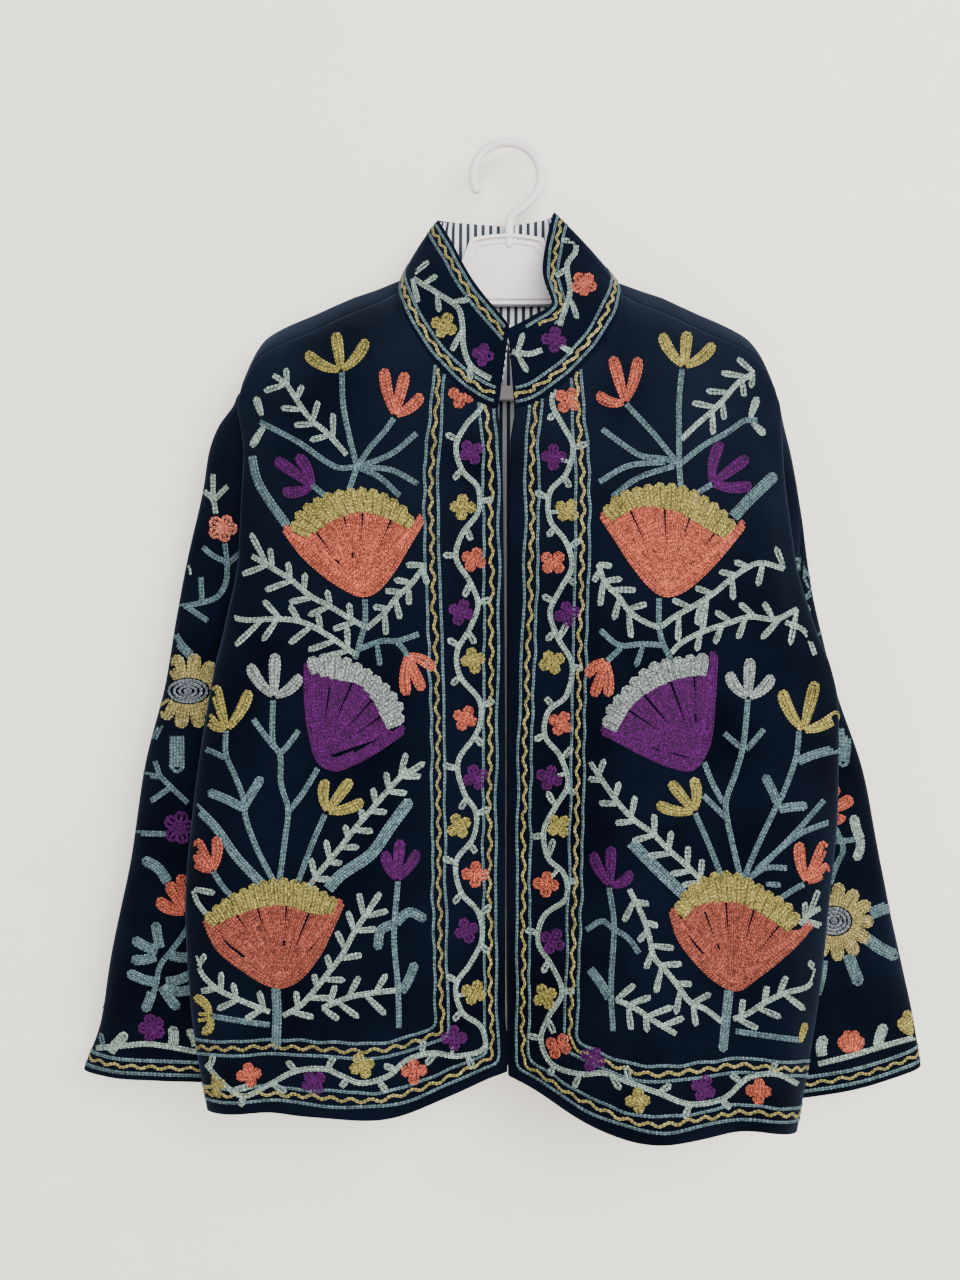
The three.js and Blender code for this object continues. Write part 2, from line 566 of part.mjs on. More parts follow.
// Neck seam from the centre front (0) to the centre back (1).
function neckPoint(side, q) {
  const { front, side: over } = COLLAR_SHARE;
  const half = NECK_HALF[sideName(side)];
  const corner = shoulderSeamZ(half);
  if (q <= front) {
    const a = (q / front) * (Math.PI / 2);
    const start = edgeX(side, NECK_FRONT_Z);
    const x = start + (half - start) * Math.sin(a) ** (2 / NECK_CURVE);
    const z = corner - (corner - NECK_FRONT_Z) * Math.cos(a) ** (2 / NECK_CURVE);
    return frontAt(side, x, z);
  }
  if (q <= over) return frontAt(side, half, mix(corner, ridgeZ(half), (q - front) / (over - front)));
  const x = half * (1 - (q - over) / (1 - over)) ** 0.9;
  return backPoint(side, backShareAt(side, x), backNeckZ(side, x));
}

function collarPoint(side, top, q, up) {
  const foot = neckPoint(side, q);
  const t = top(q);
  const head = new THREE.Vector3(side * t.x, t.y, t.z);
  const rise = head.clone().sub(foot);
  const p = foot.clone().addScaledVector(rise, up);
  const out = new THREE.Vector3(p.x, p.y + 18, 0).normalize();
  return p.addScaledVector(out, COLLAR_BELLY * 4 * up * (1 - up) * smooth(q * 6));
}

function collarGeometry(rise, near, far) {
  const { across, up } = COLLAR_STEPS;
  const tops = { l: columnsOf(COLLAR_TOP_L, "at"), r: columnsOf(COLLAR_TOP_R, "at") };
  const points = [];
  for (let j = 0; j <= up; j++) {
    for (let i = 0; i <= across; i++) {
      const share = (2 * i) / across - 1;
      const side = share < 0 ? -1 : 1;
      points.push(collarPoint(side, tops[sideName(side)], 1 - Math.abs(share), mix(rise / COLLAR_HEIGHT, 1, j / up)));
    }
  }
  const cells = gridCells(across, up, true);
  return wall(points, cells, outward(points, cells), near, far);
}

// ---- back lining ---------------------------------------------------------------------

// It lies on the back's own points, so the two stay parallel.
function backLiningGeometry() {
  const { points, normals, across } = backSheet();
  const { side, foot, top } = LINING_SKIP;
  const inside = points.map((_, k) => k).filter((k) => {
    const i = k % (across + 1);
    const j = Math.floor(k / (across + 1));
    return i >= side && i <= across - side && j >= foot && j <= BACK_ROWS - top;
  });
  const cells = gridCells(across - 2 * side, BACK_ROWS - top - foot, true);
  return wall(inside.map((k) => points[k]), cells, inside.map((k) => normals[k]), CLOTH + LAYER_GAP, CLOTH + LAYER_GAP + LINING);
}

// ---- hanger --------------------------------------------------------------------------

const wasm = await Module();
wasm.setup();

function solidOf(geometry, place = new THREE.Matrix4()) {
  const bare = new THREE.BufferGeometry();
  const source = geometry.index ? geometry.toNonIndexed() : geometry;
  bare.setAttribute("position", source.getAttribute("position").clone());
  const merged = mergeVertices(bare.applyMatrix4(place), 1e-4);
  return new wasm.Manifold(
    new wasm.Mesh({ numProp: 3, vertProperties: merged.attributes.position.array, triVerts: new Uint32Array(merged.index.array) }),
  );
}

function geometryOf(solid) {
  const mesh = solid.getMesh();
  const geometry = new THREE.BufferGeometry();
  geometry.setAttribute("position", new THREE.BufferAttribute(new Float32Array(mesh.vertProperties), 3));
  geometry.setIndex(new THREE.BufferAttribute(mesh.triVerts, 1));
  return geometry;
}

// Flat shape in the XZ plane, given thickness along Y and centred on a depth.
function slab(shape, depth, middle = 0) {
  const geometry = new THREE.ExtrudeGeometry(shape, { depth, bevelEnabled: false, curveSegments: 6 });
  const place = new THREE.Matrix4().makeRotationX(Math.PI / 2);
  place.premultiply(new THREE.Matrix4().makeTranslation(0, middle + depth / 2, 0));
  return solidOf(geometry, place);
}

function plateShape(inset) {
  const h = HANGER;
  const top = h.plateTop - inset;
  const foot = h.plateFoot + inset;
  const shape = new THREE.Shape();
  shape.moveTo(-h.plateFootHalf + inset, foot);
  shape.quadraticCurveTo(-h.plateTopHalf - 6 + inset, mix(foot, top, 0.6), -h.plateTopHalf + inset, top - 4);
  shape.quadraticCurveTo(0, top + 3, h.plateTopHalf - inset, top - 4);
  shape.quadraticCurveTo(h.plateTopHalf + 6 - inset, mix(foot, top, 0.6), h.plateFootHalf - inset, foot);
  return shape;
}

function hangerFrameShape() {
  const h = HANGER;
  const armTop = (x) => ridgeZ(Math.max(x, h.armRoot)) + 0.12 * Math.max(0, h.armRoot - x) - h.armDrop;
  const shape = new THREE.Shape();
  const steps = [60, 90, 110, 130, 150, 168, h.armEnd];
  shape.moveTo(-34, armTop(34));
  shape.lineTo(34, armTop(34));
  for (const x of steps) shape.lineTo(x, armTop(x));
  shape.quadraticCurveTo(h.endX - 4, h.endTop + 4, h.endX, h.barTop + 8);
  shape.quadraticCurveTo(h.endX, h.barFoot, h.endX - h.endRound, h.barFoot);
  shape.lineTo(-h.endX + h.endRound, h.barFoot);
  shape.quadraticCurveTo(-h.endX, h.barFoot, -h.endX, h.barTop + 8);
  shape.quadraticCurveTo(-h.endX + 4, h.endTop + 4, -h.armEnd, armTop(h.armEnd));
  for (const x of steps.slice(0, -1).reverse()) shape.lineTo(-x, armTop(x));
  const under = (x) => armTop(x) - h.armHeight;
  const window = new THREE.Path();
  window.moveTo(-h.armEnd - 4, h.barTop);
  window.lineTo(h.armEnd + 4, h.barTop);
  const below = [h.armEnd - 4, 168, 150, 130, 110, 90, 60];
  for (const x of below) window.lineTo(x, under(x));
  for (const x of [...below].reverse()) window.lineTo(-x, under(x));
  shape.holes.push(window);
  return shape;
}

function hookSolid() {
  const h = HANGER;
  const centre = h.hookHalf - h.hookRadius;
  const points = [];
  const ringSteps = 14;
  for (let n = 0; n <= ringSteps; n++) {
    const a = THREE.MathUtils.degToRad(mix(h.tipAngle, h.rootAngle, n / ringSteps));
    points.push(new THREE.Vector3(h.hookRadius * Math.cos(a), 0, centre + h.hookRadius * Math.sin(a)));
  }
  for (const [x, z] of [[12, -50.5], [4.5, -56], [2, -62], [1.8, -72], [1.8, -80]]) points.push(new THREE.Vector3(x, 0, z));
  const path = new THREE.CatmullRomCurve3(points, false, "centripetal");
  const section8 = new THREE.Shape();
  const sides = 8;
  for (let n = 0; n < sides; n++) {
    const a = ((n + 0.5) / sides) * 2 * Math.PI;
    const x = (h.hookDepth / 2) * 1.08 * Math.cos(a);
    const y = h.hookHalf * 1.08 * Math.sin(a);
    if (n === 0) section8.moveTo(x, y);
    else section8.lineTo(x, y);
  }
  return solidOf(new THREE.ExtrudeGeometry(section8, { steps: 34, extrudePath: path }));
}

function hangerGeometry() {
  const h = HANGER;
  const plateDepth = h.depth - 2 * h.recess;
  const frame = slab(hangerFrameShape(), h.depth);
  const plate = slab(plateShape(0), h.depth);
  const sunk = plateShape(h.rim);
  const front = slab(sunk, h.recess + 1, -(plateDepth + h.recess + 1) / 2);
  const back = slab(sunk, h.recess + 1, (plateDepth + h.recess + 1) / 2);
  return geometryOf(frame.add(plate).subtract(front).subtract(back).add(hookSolid()));
}

// ---- the jacket ----------------------------------------------------------------------

function material(colour, roughness) {
  return new THREE.MeshStandardMaterial({ color: colour, roughness, metalness: 0, side: THREE.DoubleSide });
}

const velvet = material(COLOURS.velvet, 0.85);
const lining = material(COLOURS.lining, 0.8);
const plastic = material(COLOURS.hanger, 0.4);

function piece(name, geometry, look) {
  const mesh = new THREE.Mesh(geometry, look);
  mesh.name = name;
  return mesh;
}

const jacket = new THREE.Group();
jacket.add(
  piece("front_l", frontGeometry(-1), velvet),
  piece("front_r", frontGeometry(1), velvet),
  piece("back", backGeometry("panel"), velvet),
  ...["side_l", "side_r", "shoulder_l", "shoulder_r"].map((part) => piece("back_" + part, backGeometry(part), velvet)),
  piece("sleeve_l", sleeveGeometry(-1, SLEEVE_L), velvet),
  piece("sleeve_r", sleeveGeometry(1, SLEEVE_R), velvet),
  piece("collar", collarGeometry(COLLAR_RISE, 0, CLOTH), velvet),
  piece("collar_lining", collarGeometry(COLLAR_LINING_RISE, CLOTH + LAYER_GAP, CLOTH + LAYER_GAP + LINING), lining),
  piece("back_lining", backLiningGeometry(), lining),
  piece("hanger", hangerGeometry(), plastic),
);

export default jacket;
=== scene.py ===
"""An embroidered velvet jacket on a plastic hanger, hung close to a pale wall.

The frame is the CAD's: +Z up, the front faces -Y, "l" and "r" are the sides at -X and +X. The cloth is
worked out again here from the same sections as the solids, on a finer grid, in millimetres, and turned
into metres when a mesh is made. The embroidery is laid on it as rows of chain stitch.
"""

import math

import bmesh
import bpy
import numpy as np
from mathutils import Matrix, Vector


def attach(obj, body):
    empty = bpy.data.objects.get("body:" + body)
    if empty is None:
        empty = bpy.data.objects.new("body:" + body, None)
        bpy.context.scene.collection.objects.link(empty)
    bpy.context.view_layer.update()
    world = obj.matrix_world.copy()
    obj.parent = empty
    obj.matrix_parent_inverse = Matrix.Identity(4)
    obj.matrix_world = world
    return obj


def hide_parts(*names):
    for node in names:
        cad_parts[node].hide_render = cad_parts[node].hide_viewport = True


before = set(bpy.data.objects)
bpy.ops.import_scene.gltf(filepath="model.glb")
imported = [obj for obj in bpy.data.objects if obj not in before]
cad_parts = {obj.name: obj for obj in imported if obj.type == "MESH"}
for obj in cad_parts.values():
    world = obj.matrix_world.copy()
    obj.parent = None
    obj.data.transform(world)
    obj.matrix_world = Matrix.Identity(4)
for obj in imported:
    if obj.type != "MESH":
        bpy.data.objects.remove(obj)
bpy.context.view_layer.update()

MM = 0.001

# ---- driving sizes, millimetres ------------------------------------------------------

CLOTH = 2.0
LINING = 1.0
LAYER_GAP = 0.4
SLEEVE_GAP = 1.8
NECK_HALF = {"l": 88, "r": 92}
NECK_FRONT_Z = -229
NECK_BACK_Z = -118
NECK_CURVE = 1.5
TIP_X = 217
TIP_Z = -205
BACK_ROLL = 15
UNDERARM_Z = -397
ARM_TOP_Y = -2
ARM_LOW_Y = -14
ARM_HALF = 20
ARM_CURVE = 2.5

SHOULDER = {
    "x": [0, 86, 93, 100, 122, 155, 188, 198, 203, 208, 214, 217],
    "ridge": [-82, -109, -112, -115, -122, -136.5, -151.5, -158.5, -165, -175.5, -191, -205],
    "drop": [18, 18, 19, 20, 23, 24, 23, 23, 22, 18, 10, 3],
    "roll": [60, 60, 60, 60, 57, 50, 38, 34, 32, 30, 28, 26],
}
SECTIONS = {
    "z": [-785, -684, -607, -530, -456, -424, -397, -336, -262, -205, -105],
    "half_l": [226, 243, 247, 241, 231, 225, 219, 208, 207, 217, 217],
    "half_r": [217, 236, 245, 252, 253, 248, 239, 221, 214, 217, 217],
    "seam_l": [219, 236, 240, 234, 225, 217, 206, 206, 206, 216, 216],
    "seam_r": [210, 229, 238, 245, 246, 239, 226, 219, 213, 216, 216],
    "tuck_l": [160, 164, 164, 163, 170, 184, 203, 203, 203, 213, 213],
    "tuck_r": [158, 162, 164, 168, 178, 198, 223, 216, 210, 213, 213],
    "edge": [-38, -40, -42, -44, -48, -50, -52, -56, -60, -61, -52],
    "chest": [-86, -80, -76, -72, -70, -69, -68, -66, -63, -57, -44],
    "fold": [-80, -80, -78, -76, -73, -70, -67, -60, -52, -40, -30],
    "wide": [-56, -55, -54, -54, -52, -49, -44, -45, -38, -22, -16],
    "seam": [-44, -44, -44, -44, -43, -38, -14, -28, -28, -16, -12],
    "tuck": [-31, -33, -34, -34, -33, -25, -6, -6, -6, -6, -6],
    "back": [13, 14, 14, 14, 13, 12, 12, 12, 12, 12, 12],
}
FRONT_STATIONS = [0, 0.45, 0.77, 0.92, 1]
CHEST_SHARE = 0.43
FOLD_SHARE = 0.82
BACK_STATIONS = [0, 0.2, 0.34, 0.52, 1]
CORNER_SHARE = 0.93
BLADE_SHARE = 0.74
EDGES = {
    "z": [-785, -735, -690, -480, -343, -255, -229, -115],
    "l": [0.9, 1.1, 2.6, 3.2, 4.7, 6.3, 9.2, 9.2],
    "r": [0.1, 0.1, 0.3, 0.4, 1.4, 1.8, 5.0, 5.0],
}
RIGHT_SWING = 0.1
SWING_TOP_Z = -300
SWING_DROP = 400
HEM = {
    "l": {"front": [-741, -754, -755.5, -762, -764], "back": [-764, -762, -757]},
    "r": {"front": [-744, -766, -766, -777, -777], "back": [-777, -770, -757]},
}
# side, x at the top and at the foot, height of both, half width, how far it stands out
FOLDS_FRONT = [
    (-1, 58, 118, -290, -930, 26, 6),
    (-1, 168, 184, -410, -960, 20, -6),
    (-1, 186, 170, -215, -360, 14, 3),
    (1, 54, 126, -290, -930, 26, 8),
    (1, 152, 178, -400, -960, 22, -7),
    (1, 180, 206, -195, -440, 13, 6),
]
FOLDS_BACK = [
    (-1, 50, 92, -230, -960, 26, 5),
    (-1, 112, 138, -320, -960, 22, -5),
    (1, 36, 74, -260, -960, 24, 4),
    (1, 104, 132, -300, -960, 22, -5),
]
SLEEVE_KEYS = ["out_x", "out_z", "in_x", "in_z", "mid", "in_mid", "half"]
SLEEVE_L = [
    [217, -205, 206, -397, -8, -8, 20],
    [236, -228, 209, -396, -4, -3, 19],
    [246, -283, 211, -399, -3, 1, 19],
    [258, -338, 208, -412, -3, 3, 19],
    [267, -388, 197, -434, -4, 1, 19],
    [276, -440, 184, -466, -5, -3, 19],
    [292, -508, 176, -522, -8, -7, 22],
    [304, -590, 177, -600, -8, -8, 22],
    [319, -664, 180, -676, -8, -8, 21],
    [327, -712, 183, -722, -9, -9, 19],
    [341, -751, 187, -756, -9, -9, 17],
]
SLEEVE_R = [
    [217, -205, 226, -397, -8, -8, 20],
    [226, -240, 229, -395, -4, -2, 19],
    [233, -290, 232, -398, -3, 3, 18],
    [242, -350, 228, -411, -3, 4, 17],
    [255, -404, 212, -437, -4, 2, 18],
    [267, -450, 195, -470, -5, -2, 19],
    [286, -513, 184, -530, -8, -7, 22],
    [301, -594, 180, -614, -8, -8, 22],
    [317, -662, 180, -688, -8, -8, 21],
    [327, -710, 181, -737, -9, -9, 19],
    [333, -748, 183, -777, -9, -9, 17],
]
COLLAR_TOP_L = {
    "at": [0, 0.28, 0.5, 0.6, 0.74, 1],
    "x": [1.4, 29, 49, 57, 44, 0],
    "y": [-68, -44, -18, -5, 7, 11],
    "z": [-168, -124, -79, -62.5, -60, -62],
}
COLLAR_TOP_R = {
    "at": [0, 0.2, 0.34, 0.43, 0.52, 0.61, 0.75, 1],
    "x": [0.2, 19, 34, 28, 33, 39, 35, 0],
    "y": [-68, -60, -50, -32, -16, -5, 7, 11],
    "z": [-171, -158, -143, -113, -79, -56, -57, -62],
}
COLLAR_FRONT_SHARE = 0.56
COLLAR_SIDE_SHARE = 0.65
COLLAR_HEIGHT = 62
COLLAR_BELLY = 3
COLLAR_RISE = 1.2
COLLAR_LINING_RISE = 4

# ---- small maths ---------------------------------------------------------------------


def mix(a, b, t):
    return a + (b - a) * t


def smooth(t):
    t = np.clip(t, 0, 1)
    return t * t * (3 - 2 * t)


def super_root(t, n):
    return np.maximum(0, 1 - np.abs(t) ** n) ** (1 / n)


def curve_through(xs, ys, x):
    """Monotone cubic through (xs, ys) at x. The last axis of ys runs along xs."""
    xs = np.asarray(xs, float)
    ys = np.asarray(ys, float)
    x = np.asarray(x, float)
    shape = np.broadcast_shapes(ys.shape[:-1], x.shape)
    ys = np.broadcast_to(ys, shape + (len(xs),))
    x = np.broadcast_to(x, shape)
    step = np.diff(xs)
    slope = np.diff(ys, axis=-1) / step
    tangent = np.zeros(ys.shape)
    tangent[..., 0] = slope[..., 0]
    tangent[..., -1] = slope[..., -1]
    before, after = slope[..., :-1], slope[..., 1:]
    level = before * after <= 0
    w1 = 2 * step[1:] + step[:-1]
    w2 = step[1:] + 2 * step[:-1]
    bend = (w1 + w2) / (w1 / np.where(level, 1, before) + w2 / np.where(level, 1, after))
    tangent[..., 1:-1] = np.where(level, 0, bend)
    i = np.searchsorted(xs[1:-1], x, side="left")
    h = step[i]
    t = np.clip((x - xs[i]) / h, 0, 1)
    s = 1 - t

    def pick(values, k):
        return np.take_along_axis(values, k[..., None], -1)[..., 0]

    return (
        pick(ys, i) * (1 + 2 * t) * s * s
        + pick(tangent, i) * h * t * s * s
        + pick(ys, i + 1) * t * t * (3 - 2 * t)
        - pick(tangent, i + 1) * h * t * t * s
    )


def column(table, key, x, along="z"):
    return curve_through(table[along], table[key], x)


def share_at(rising, value, low, high):
    """Where a rising function reaches each value, between two shares."""
    low = np.full(np.shape(value), float(low))
    high = np.full(np.shape(value), float(high))
    for _ in range(30):
        middle = (low + high) / 2
        under = rising(middle) < value
        low = np.where(under, middle, low)
        high = np.where(under, high, middle)
    return (low + high) / 2


def unit(v):
    return v / np.maximum(np.linalg.norm(v, axis=-1, keepdims=True), 1e-9)


def side_name(side):
    return "l" if side < 0 else "r"


def lengths_along(line):
    """Distance along a line at each of its points."""
    return np.concatenate([[0], np.cumsum(np.linalg.norm(np.diff(line, axis=0), axis=1))])


# ---- the draped form -----------------------------------------------------------------


def ridge_z(x):
    return column(SHOULDER, "ridge", np.abs(x), "x")


def shoulder_seam_z(x):
    return ridge_z(x) - column(SHOULDER, "drop", np.abs(x), "x")


def edge_x(side, z):
    return column(EDGES, side_name(side), z)


def armhole(z):
    t = (z - (TIP_Z + UNDERARM_Z) / 2) / ((TIP_Z - UNDERARM_Z) / 2)
    middle = mix(ARM_LOW_Y, ARM_TOP_Y, np.clip((t + 1) / 2, 0, 1))
    return middle, np.where(np.abs(t) < 1, ARM_HALF * super_root(np.clip(t, -1, 1), ARM_CURVE), 0)


def folds_at(folds, side, x, z):
    out = np.zeros(np.broadcast_shapes(np.shape(x), np.shape(z)))
    for which, x_top, x_foot, top, foot, width, depth in folds:
        if which != side:
            continue
        down = (top - z) / (top - foot)
        across = (x - mix(x_top, x_foot, np.clip(down, 0, 1))) / width
        out = out + depth * smooth(down * 3) * smooth((1 - down) * 4) * np.exp(-across * across)
    return out


def front_point(side, u, z):
    """Point of a front at u, 0 at its edge and 1 at the side seam or armhole, and height z."""
    u, z = np.broadcast_arrays(np.asarray(u, float), np.asarray(z, float))
    half = column(SECTIONS, "half_" + side_name(side), z)
    seam = column(SECTIONS, "seam_" + side_name(side), z)
    middle, loop = armhole(np.minimum(z, TIP_Z))
    swing = 1 + RIGHT_SWING * smooth((SWING_TOP_Z - z) / SWING_DROP) if side > 0 else 1
    last = np.where(z > UNDERARM_Z, middle - loop, column(SECTIONS, "seam", z))
    xs = np.stack([edge_x(side, z), CHEST_SHARE * half, FOLD_SHARE * half, half, seam], -1)
    chest = column(SECTIONS, "chest", z) * swing
    fold = column(SECTIONS, "fold", z) * swing
    ys = np.stack([column(SECTIONS, "edge", z), chest, fold, column(SECTIONS, "wide", z), last], -1)
    x = curve_through(FRONT_STATIONS, xs, u)
    y = curve_through(FRONT_STATIONS, ys, u)
    y = y - folds_at(FOLDS_FRONT, side, x, z) * smooth(u / 0.12) * smooth((1 - u) / 0.16)
    ridge = column(SHOULDER, "ridge", x, "x")
    roll = np.clip((ridge - z) / column(SHOULDER, "roll", x, "x"), 0, 1)
    return np.stack([side * x, y * roll * (2 - roll), z], -1)


def back_point(side, f, z):
    """Point of the back at f, 0 at the side seam or armhole and 1 at the centre, and height z."""
    f, z = np.broadcast_arrays(np.asarray(f, float), np.asarray(z, float))
    seam = column(SECTIONS, "seam_" + side_name(side), z)
    tuck = column(SECTIONS, "tuck_" + side_name(side), z)
    back = column(SECTIONS, "back", z)
    middle, loop = armhole(np.minimum(z, TIP_Z))
    in_armhole = z > UNDERARM_Z
    first = np.where(in_armhole, middle + loop, column(SECTIONS, "seam", z))
    tuck_y = np.where(in_armhole, mix(first, back, 0.3), column(SECTIONS, "tuck", z))
    xs = np.stack([seam, tuck, CORNER_SHARE * tuck, BLADE_SHARE * tuck, 0 * tuck], -1)
    ys = np.stack([first, tuck_y, mix(tuck_y, back, 0.75), back, back], -1)
    x = curve_through(BACK_STATIONS, xs, f)
    y = curve_through(BACK_STATIONS, ys, f)
    y = y + folds_at(FOLDS_BACK, side, x, z) * smooth((f - BACK_STATIONS[2]) / 0.2)
    roll = np.clip(np.maximum(0, ridge_z(x) - z) / BACK_ROLL, 0, 1)
    return np.stack([side * x, y * np.sqrt(roll * (2 - roll)), z], -1)


def front_at(side, x, z):
    """Point of a front at a distance x from the middle."""
    share = share_at(lambda u: front_point(side, u, z)[..., 0] * side, x, 0, FRONT_STATIONS[3])
    return front_point(side, share, z)


def back_share_at(side, x):
    """Share of the back's width at which it stands x from the centre, at the shoulder."""
    return share_at(lambda f: -back_point(side, f, TIP_Z)[..., 0] * side, -np.asarray(x, float), 0, 1)


def neckline_z(side, x):
    start = edge_x(side, NECK_FRONT_Z)
    half = NECK_HALF[side_name(side)]
    t = np.clip((x - start) / (half - start), 0, 1)
    low = shoulder_seam_z(half)
    return low - (low - NECK_FRONT_Z) * super_root(t, NECK_CURVE)


def back_neck_z(side, x):
    half = NECK_HALF[side_name(side)]
    return mix(NECK_BACK_Z, ridge_z(half), smooth(x / half))


# ---- grids ---------------------------------------------------------------------------
# A grid is an array of points, in rows, from the foot up except on the sleeves.

BASE_Z = -728
CHEST_Z = -297
FRONT_ROWS = (7, 88, 36)  # up to BASE_Z, up to CHEST_Z, and up to the top
BACK_ROWS = (6, 72, 26)
NECK_COLUMNS = 19  # of a front
SHOULDER_COLUMNS = 33
BACK_NECK_COLUMNS = 17  # of half the back
RIDGE_BAND = 22  # the back's rows lie closer together over this much below the ridge
RIDGE_ROWS = (18, 14, 10.5, 7.5, 5, 3, 1.6, 0.6, 0)
ROWS_OVER = 8  # from the ridge to the forward shoulder seam
SLEEVE_AROUND = 72
SLEEVE_ALONG = 104
SLEEVE_TUCK = 6  # how far the sleeve's top runs in behind the armhole
COLLAR_ACROSS = 150
COLLAR_UP = 16


def stretch(feet, tops, foot_rows, body_rows, top_rows):
    """Heights of every row at every column: to BASE_Z, to CHEST_Z, and to the column's own top."""
    feet, tops = np.broadcast_arrays(np.asarray(feet, float), np.asarray(tops, float))
    low = [mix(feet, BASE_Z, k / foot_rows) for k in range(foot_rows)]
    body = [np.full(feet.shape, mix(BASE_Z, CHEST_Z, k / body_rows)) for k in range(body_rows)]
    high = [mix(CHEST_Z, tops, k / top_rows) for k in range(top_rows + 1)]
    return np.stack(low + body + high)


def front_grid(side):
    neck_half = NECK_HALF[side_name(side)]
    start = edge_x(side, NECK_FRONT_Z)
    widest = front_point(side, 1, NECK_FRONT_Z)[0] * side

    def at_top(u):
        x = front_point(side, u, NECK_FRONT_Z)[..., 0] * side
        return mix(start, TIP_X, (x - start) / (widest - start))

    neck = float(share_at(at_top, np.array(float(neck_half)), 0, FRONT_STATIONS[3]))
    beyond = np.linspace(0, 1, SHOULDER_COLUMNS + 1)[1:]
    shares = np.concatenate([neck * np.linspace(0, 1, NECK_COLUMNS), neck + (1 - neck) * beyond])
    x = np.minimum(at_top(shares), TIP_X)
    tops = np.where(x < neck_half - 0.01, neckline_z(side, x), shoulder_seam_z(x))
    feet = curve_through(FRONT_STATIONS, HEM[side_name(side)]["front"], shares)
    z = stretch(feet, tops, *FRONT_ROWS)
    return front_point(side, shares[None, :], z)


def back_grid():
    """The back as one piece: rows up to the ridge, then over it to the forward shoulder seam."""
    halves = []
    for side in (-1, 1):
        neck = NECK_HALF[side_name(side)]
        outer = np.concatenate([np.linspace(0, 0.2, 8)[:-1], np.linspace(0.2, 0.52, 17)[:-1]])
        at_neck = float(back_share_at(side, neck))
        middle = np.linspace(0.52, at_neck, 5)[:-1]
        inner = neck * np.linspace(1, 0, BACK_NECK_COLUMNS)
        f = np.concatenate([outer, middle, back_share_at(side, inner)])
        x = np.abs(back_point(side, f, TIP_Z)[:, 0])
        x[-BACK_NECK_COLUMNS:] = inner
        in_neck = np.arange(len(f)) > len(f) - BACK_NECK_COLUMNS
        halves.append((np.full(len(f), side), f, x, in_neck))
    parts = [halves[0]] + [tuple(a[-2::-1] for a in halves[1])]
    sides, f, x, in_neck = (np.concatenate(p) for p in zip(*parts))
    tops = np.zeros(len(f))
    feet = np.zeros(len(f))
    for side in (-1, 1):
        on = sides == side
        tops[on] = np.where(in_neck[on], back_neck_z(side, x[on]), ridge_z(x[on]))
        hem = HEM[side_name(side)]["back"]
        feet[on] = curve_through([0, BACK_STATIONS[1], 1], hem, f[on])
    z = stretch(feet, tops - RIDGE_BAND, *BACK_ROWS)
    near = np.stack([tops - down for down in RIDGE_ROWS])
    z = np.concatenate([z, near])
    points = np.zeros(z.shape + (3,))
    for side in (-1, 1):
        on = sides == side
        points[:, on] = back_point(side, f[None, on], z[:, on])
    over = []
    for k in range(1, ROWS_OVER + 1):
        row = points[-1].copy()
        for side in (-1, 1):
            on = (sides == side) & ~in_neck
            height = mix(ridge_z(x[on]), shoulder_seam_z(x[on]) + 0.1, k / ROWS_OVER)
            row[on] = front_at(side, x[on], height)
            neck_on = (sides == side) & in_neck
            row[neck_on] = np.stack([side * x[neck_on], 0 * x[neck_on], tops[neck_on]], -1)
        over.append(row)
    rows = len(points)
    grid = np.concatenate([points, np.stack(over)])
    keep = np.ones((len(grid) - 1, len(f) - 1), bool)
    keep[rows - 1 :] = ~(in_neck[:-1] | in_neck[1:])
    return grid, keep, rows


def sleeve_grid(side, rings):
    """A sleeve as rows from the armhole to the cuff, each right round it."""
    stations = np.linspace(0, 1, len(rings))
    turn = 2 * np.pi * np.arange(SLEEVE_AROUND) / SLEEVE_AROUND
    t = np.linspace(0, 1, SLEEVE_ALONG + 1)[:, None]
    r = {key: curve_through(stations, [ring[k] for ring in rings], t) for k, key in enumerate(SLEEVE_KEYS)}
    curve = mix(ARM_CURVE, 2, smooth(t / 0.3))
    c, s = np.cos(turn)[None, :], np.sin(turn)[None, :]
    reach = np.sign(c) * np.abs(c) ** (2 / curve)
    deep = np.sign(s) * np.abs(s) ** (2 / curve)
    place = (reach + 1) / 2
    x = mix(r["in_x"], r["out_x"], place)
    z = mix(r["in_z"], r["out_z"], place)
    middle, _ = armhole(z)
    head = 1 - smooth(t / 0.16)
    depth = mix(mix(r["in_mid"], r["mid"], place), middle, head)
    edge = column(SECTIONS, "seam_" + side_name(side), z) + SLEEVE_GAP
    grid = np.stack([side * mix(x, edge + t * 60, head), depth - deep * r["half"], z], -1)
    tucked = grid[:1].copy()
    tucked[..., 0] -= side * SLEEVE_TUCK
    tucked[..., 1] += 3 * deep[:1]
    return np.concatenate([tucked, grid])


def neck_point(side, q):
    """Neck seam from the centre front (0) to the centre back (1)."""
    half = NECK_HALF[side_name(side)]
    corner = shoulder_seam_z(half)
    start = edge_x(side, NECK_FRONT_Z)
    a = np.clip(q / COLLAR_FRONT_SHARE, 0, 1) * (np.pi / 2)
    x = start + (half - start) * np.sin(a) ** (2 / NECK_CURVE)
    z = corner - (corner - NECK_FRONT_Z) * np.cos(a) ** (2 / NECK_CURVE)
    front = front_at(side, x, z)
    rise = np.clip((q - COLLAR_FRONT_SHARE) / (COLLAR_SIDE_SHARE - COLLAR_FRONT_SHARE), 0, 1)
    over = front_at(side, np.full(np.shape(q), float(half)), mix(corner, ridge_z(half), rise))
    x = half * np.maximum(0, 1 - np.clip((q - COLLAR_SIDE_SHARE) / (1 - COLLAR_SIDE_SHARE), 0, 1)) ** 0.9
    back = back_point(side, back_share_at(side, x), back_neck_z(side, x))
    q = q[..., None]
    return np.where(q <= COLLAR_FRONT_SHARE, front, np.where(q <= COLLAR_SIDE_SHARE, over, back))


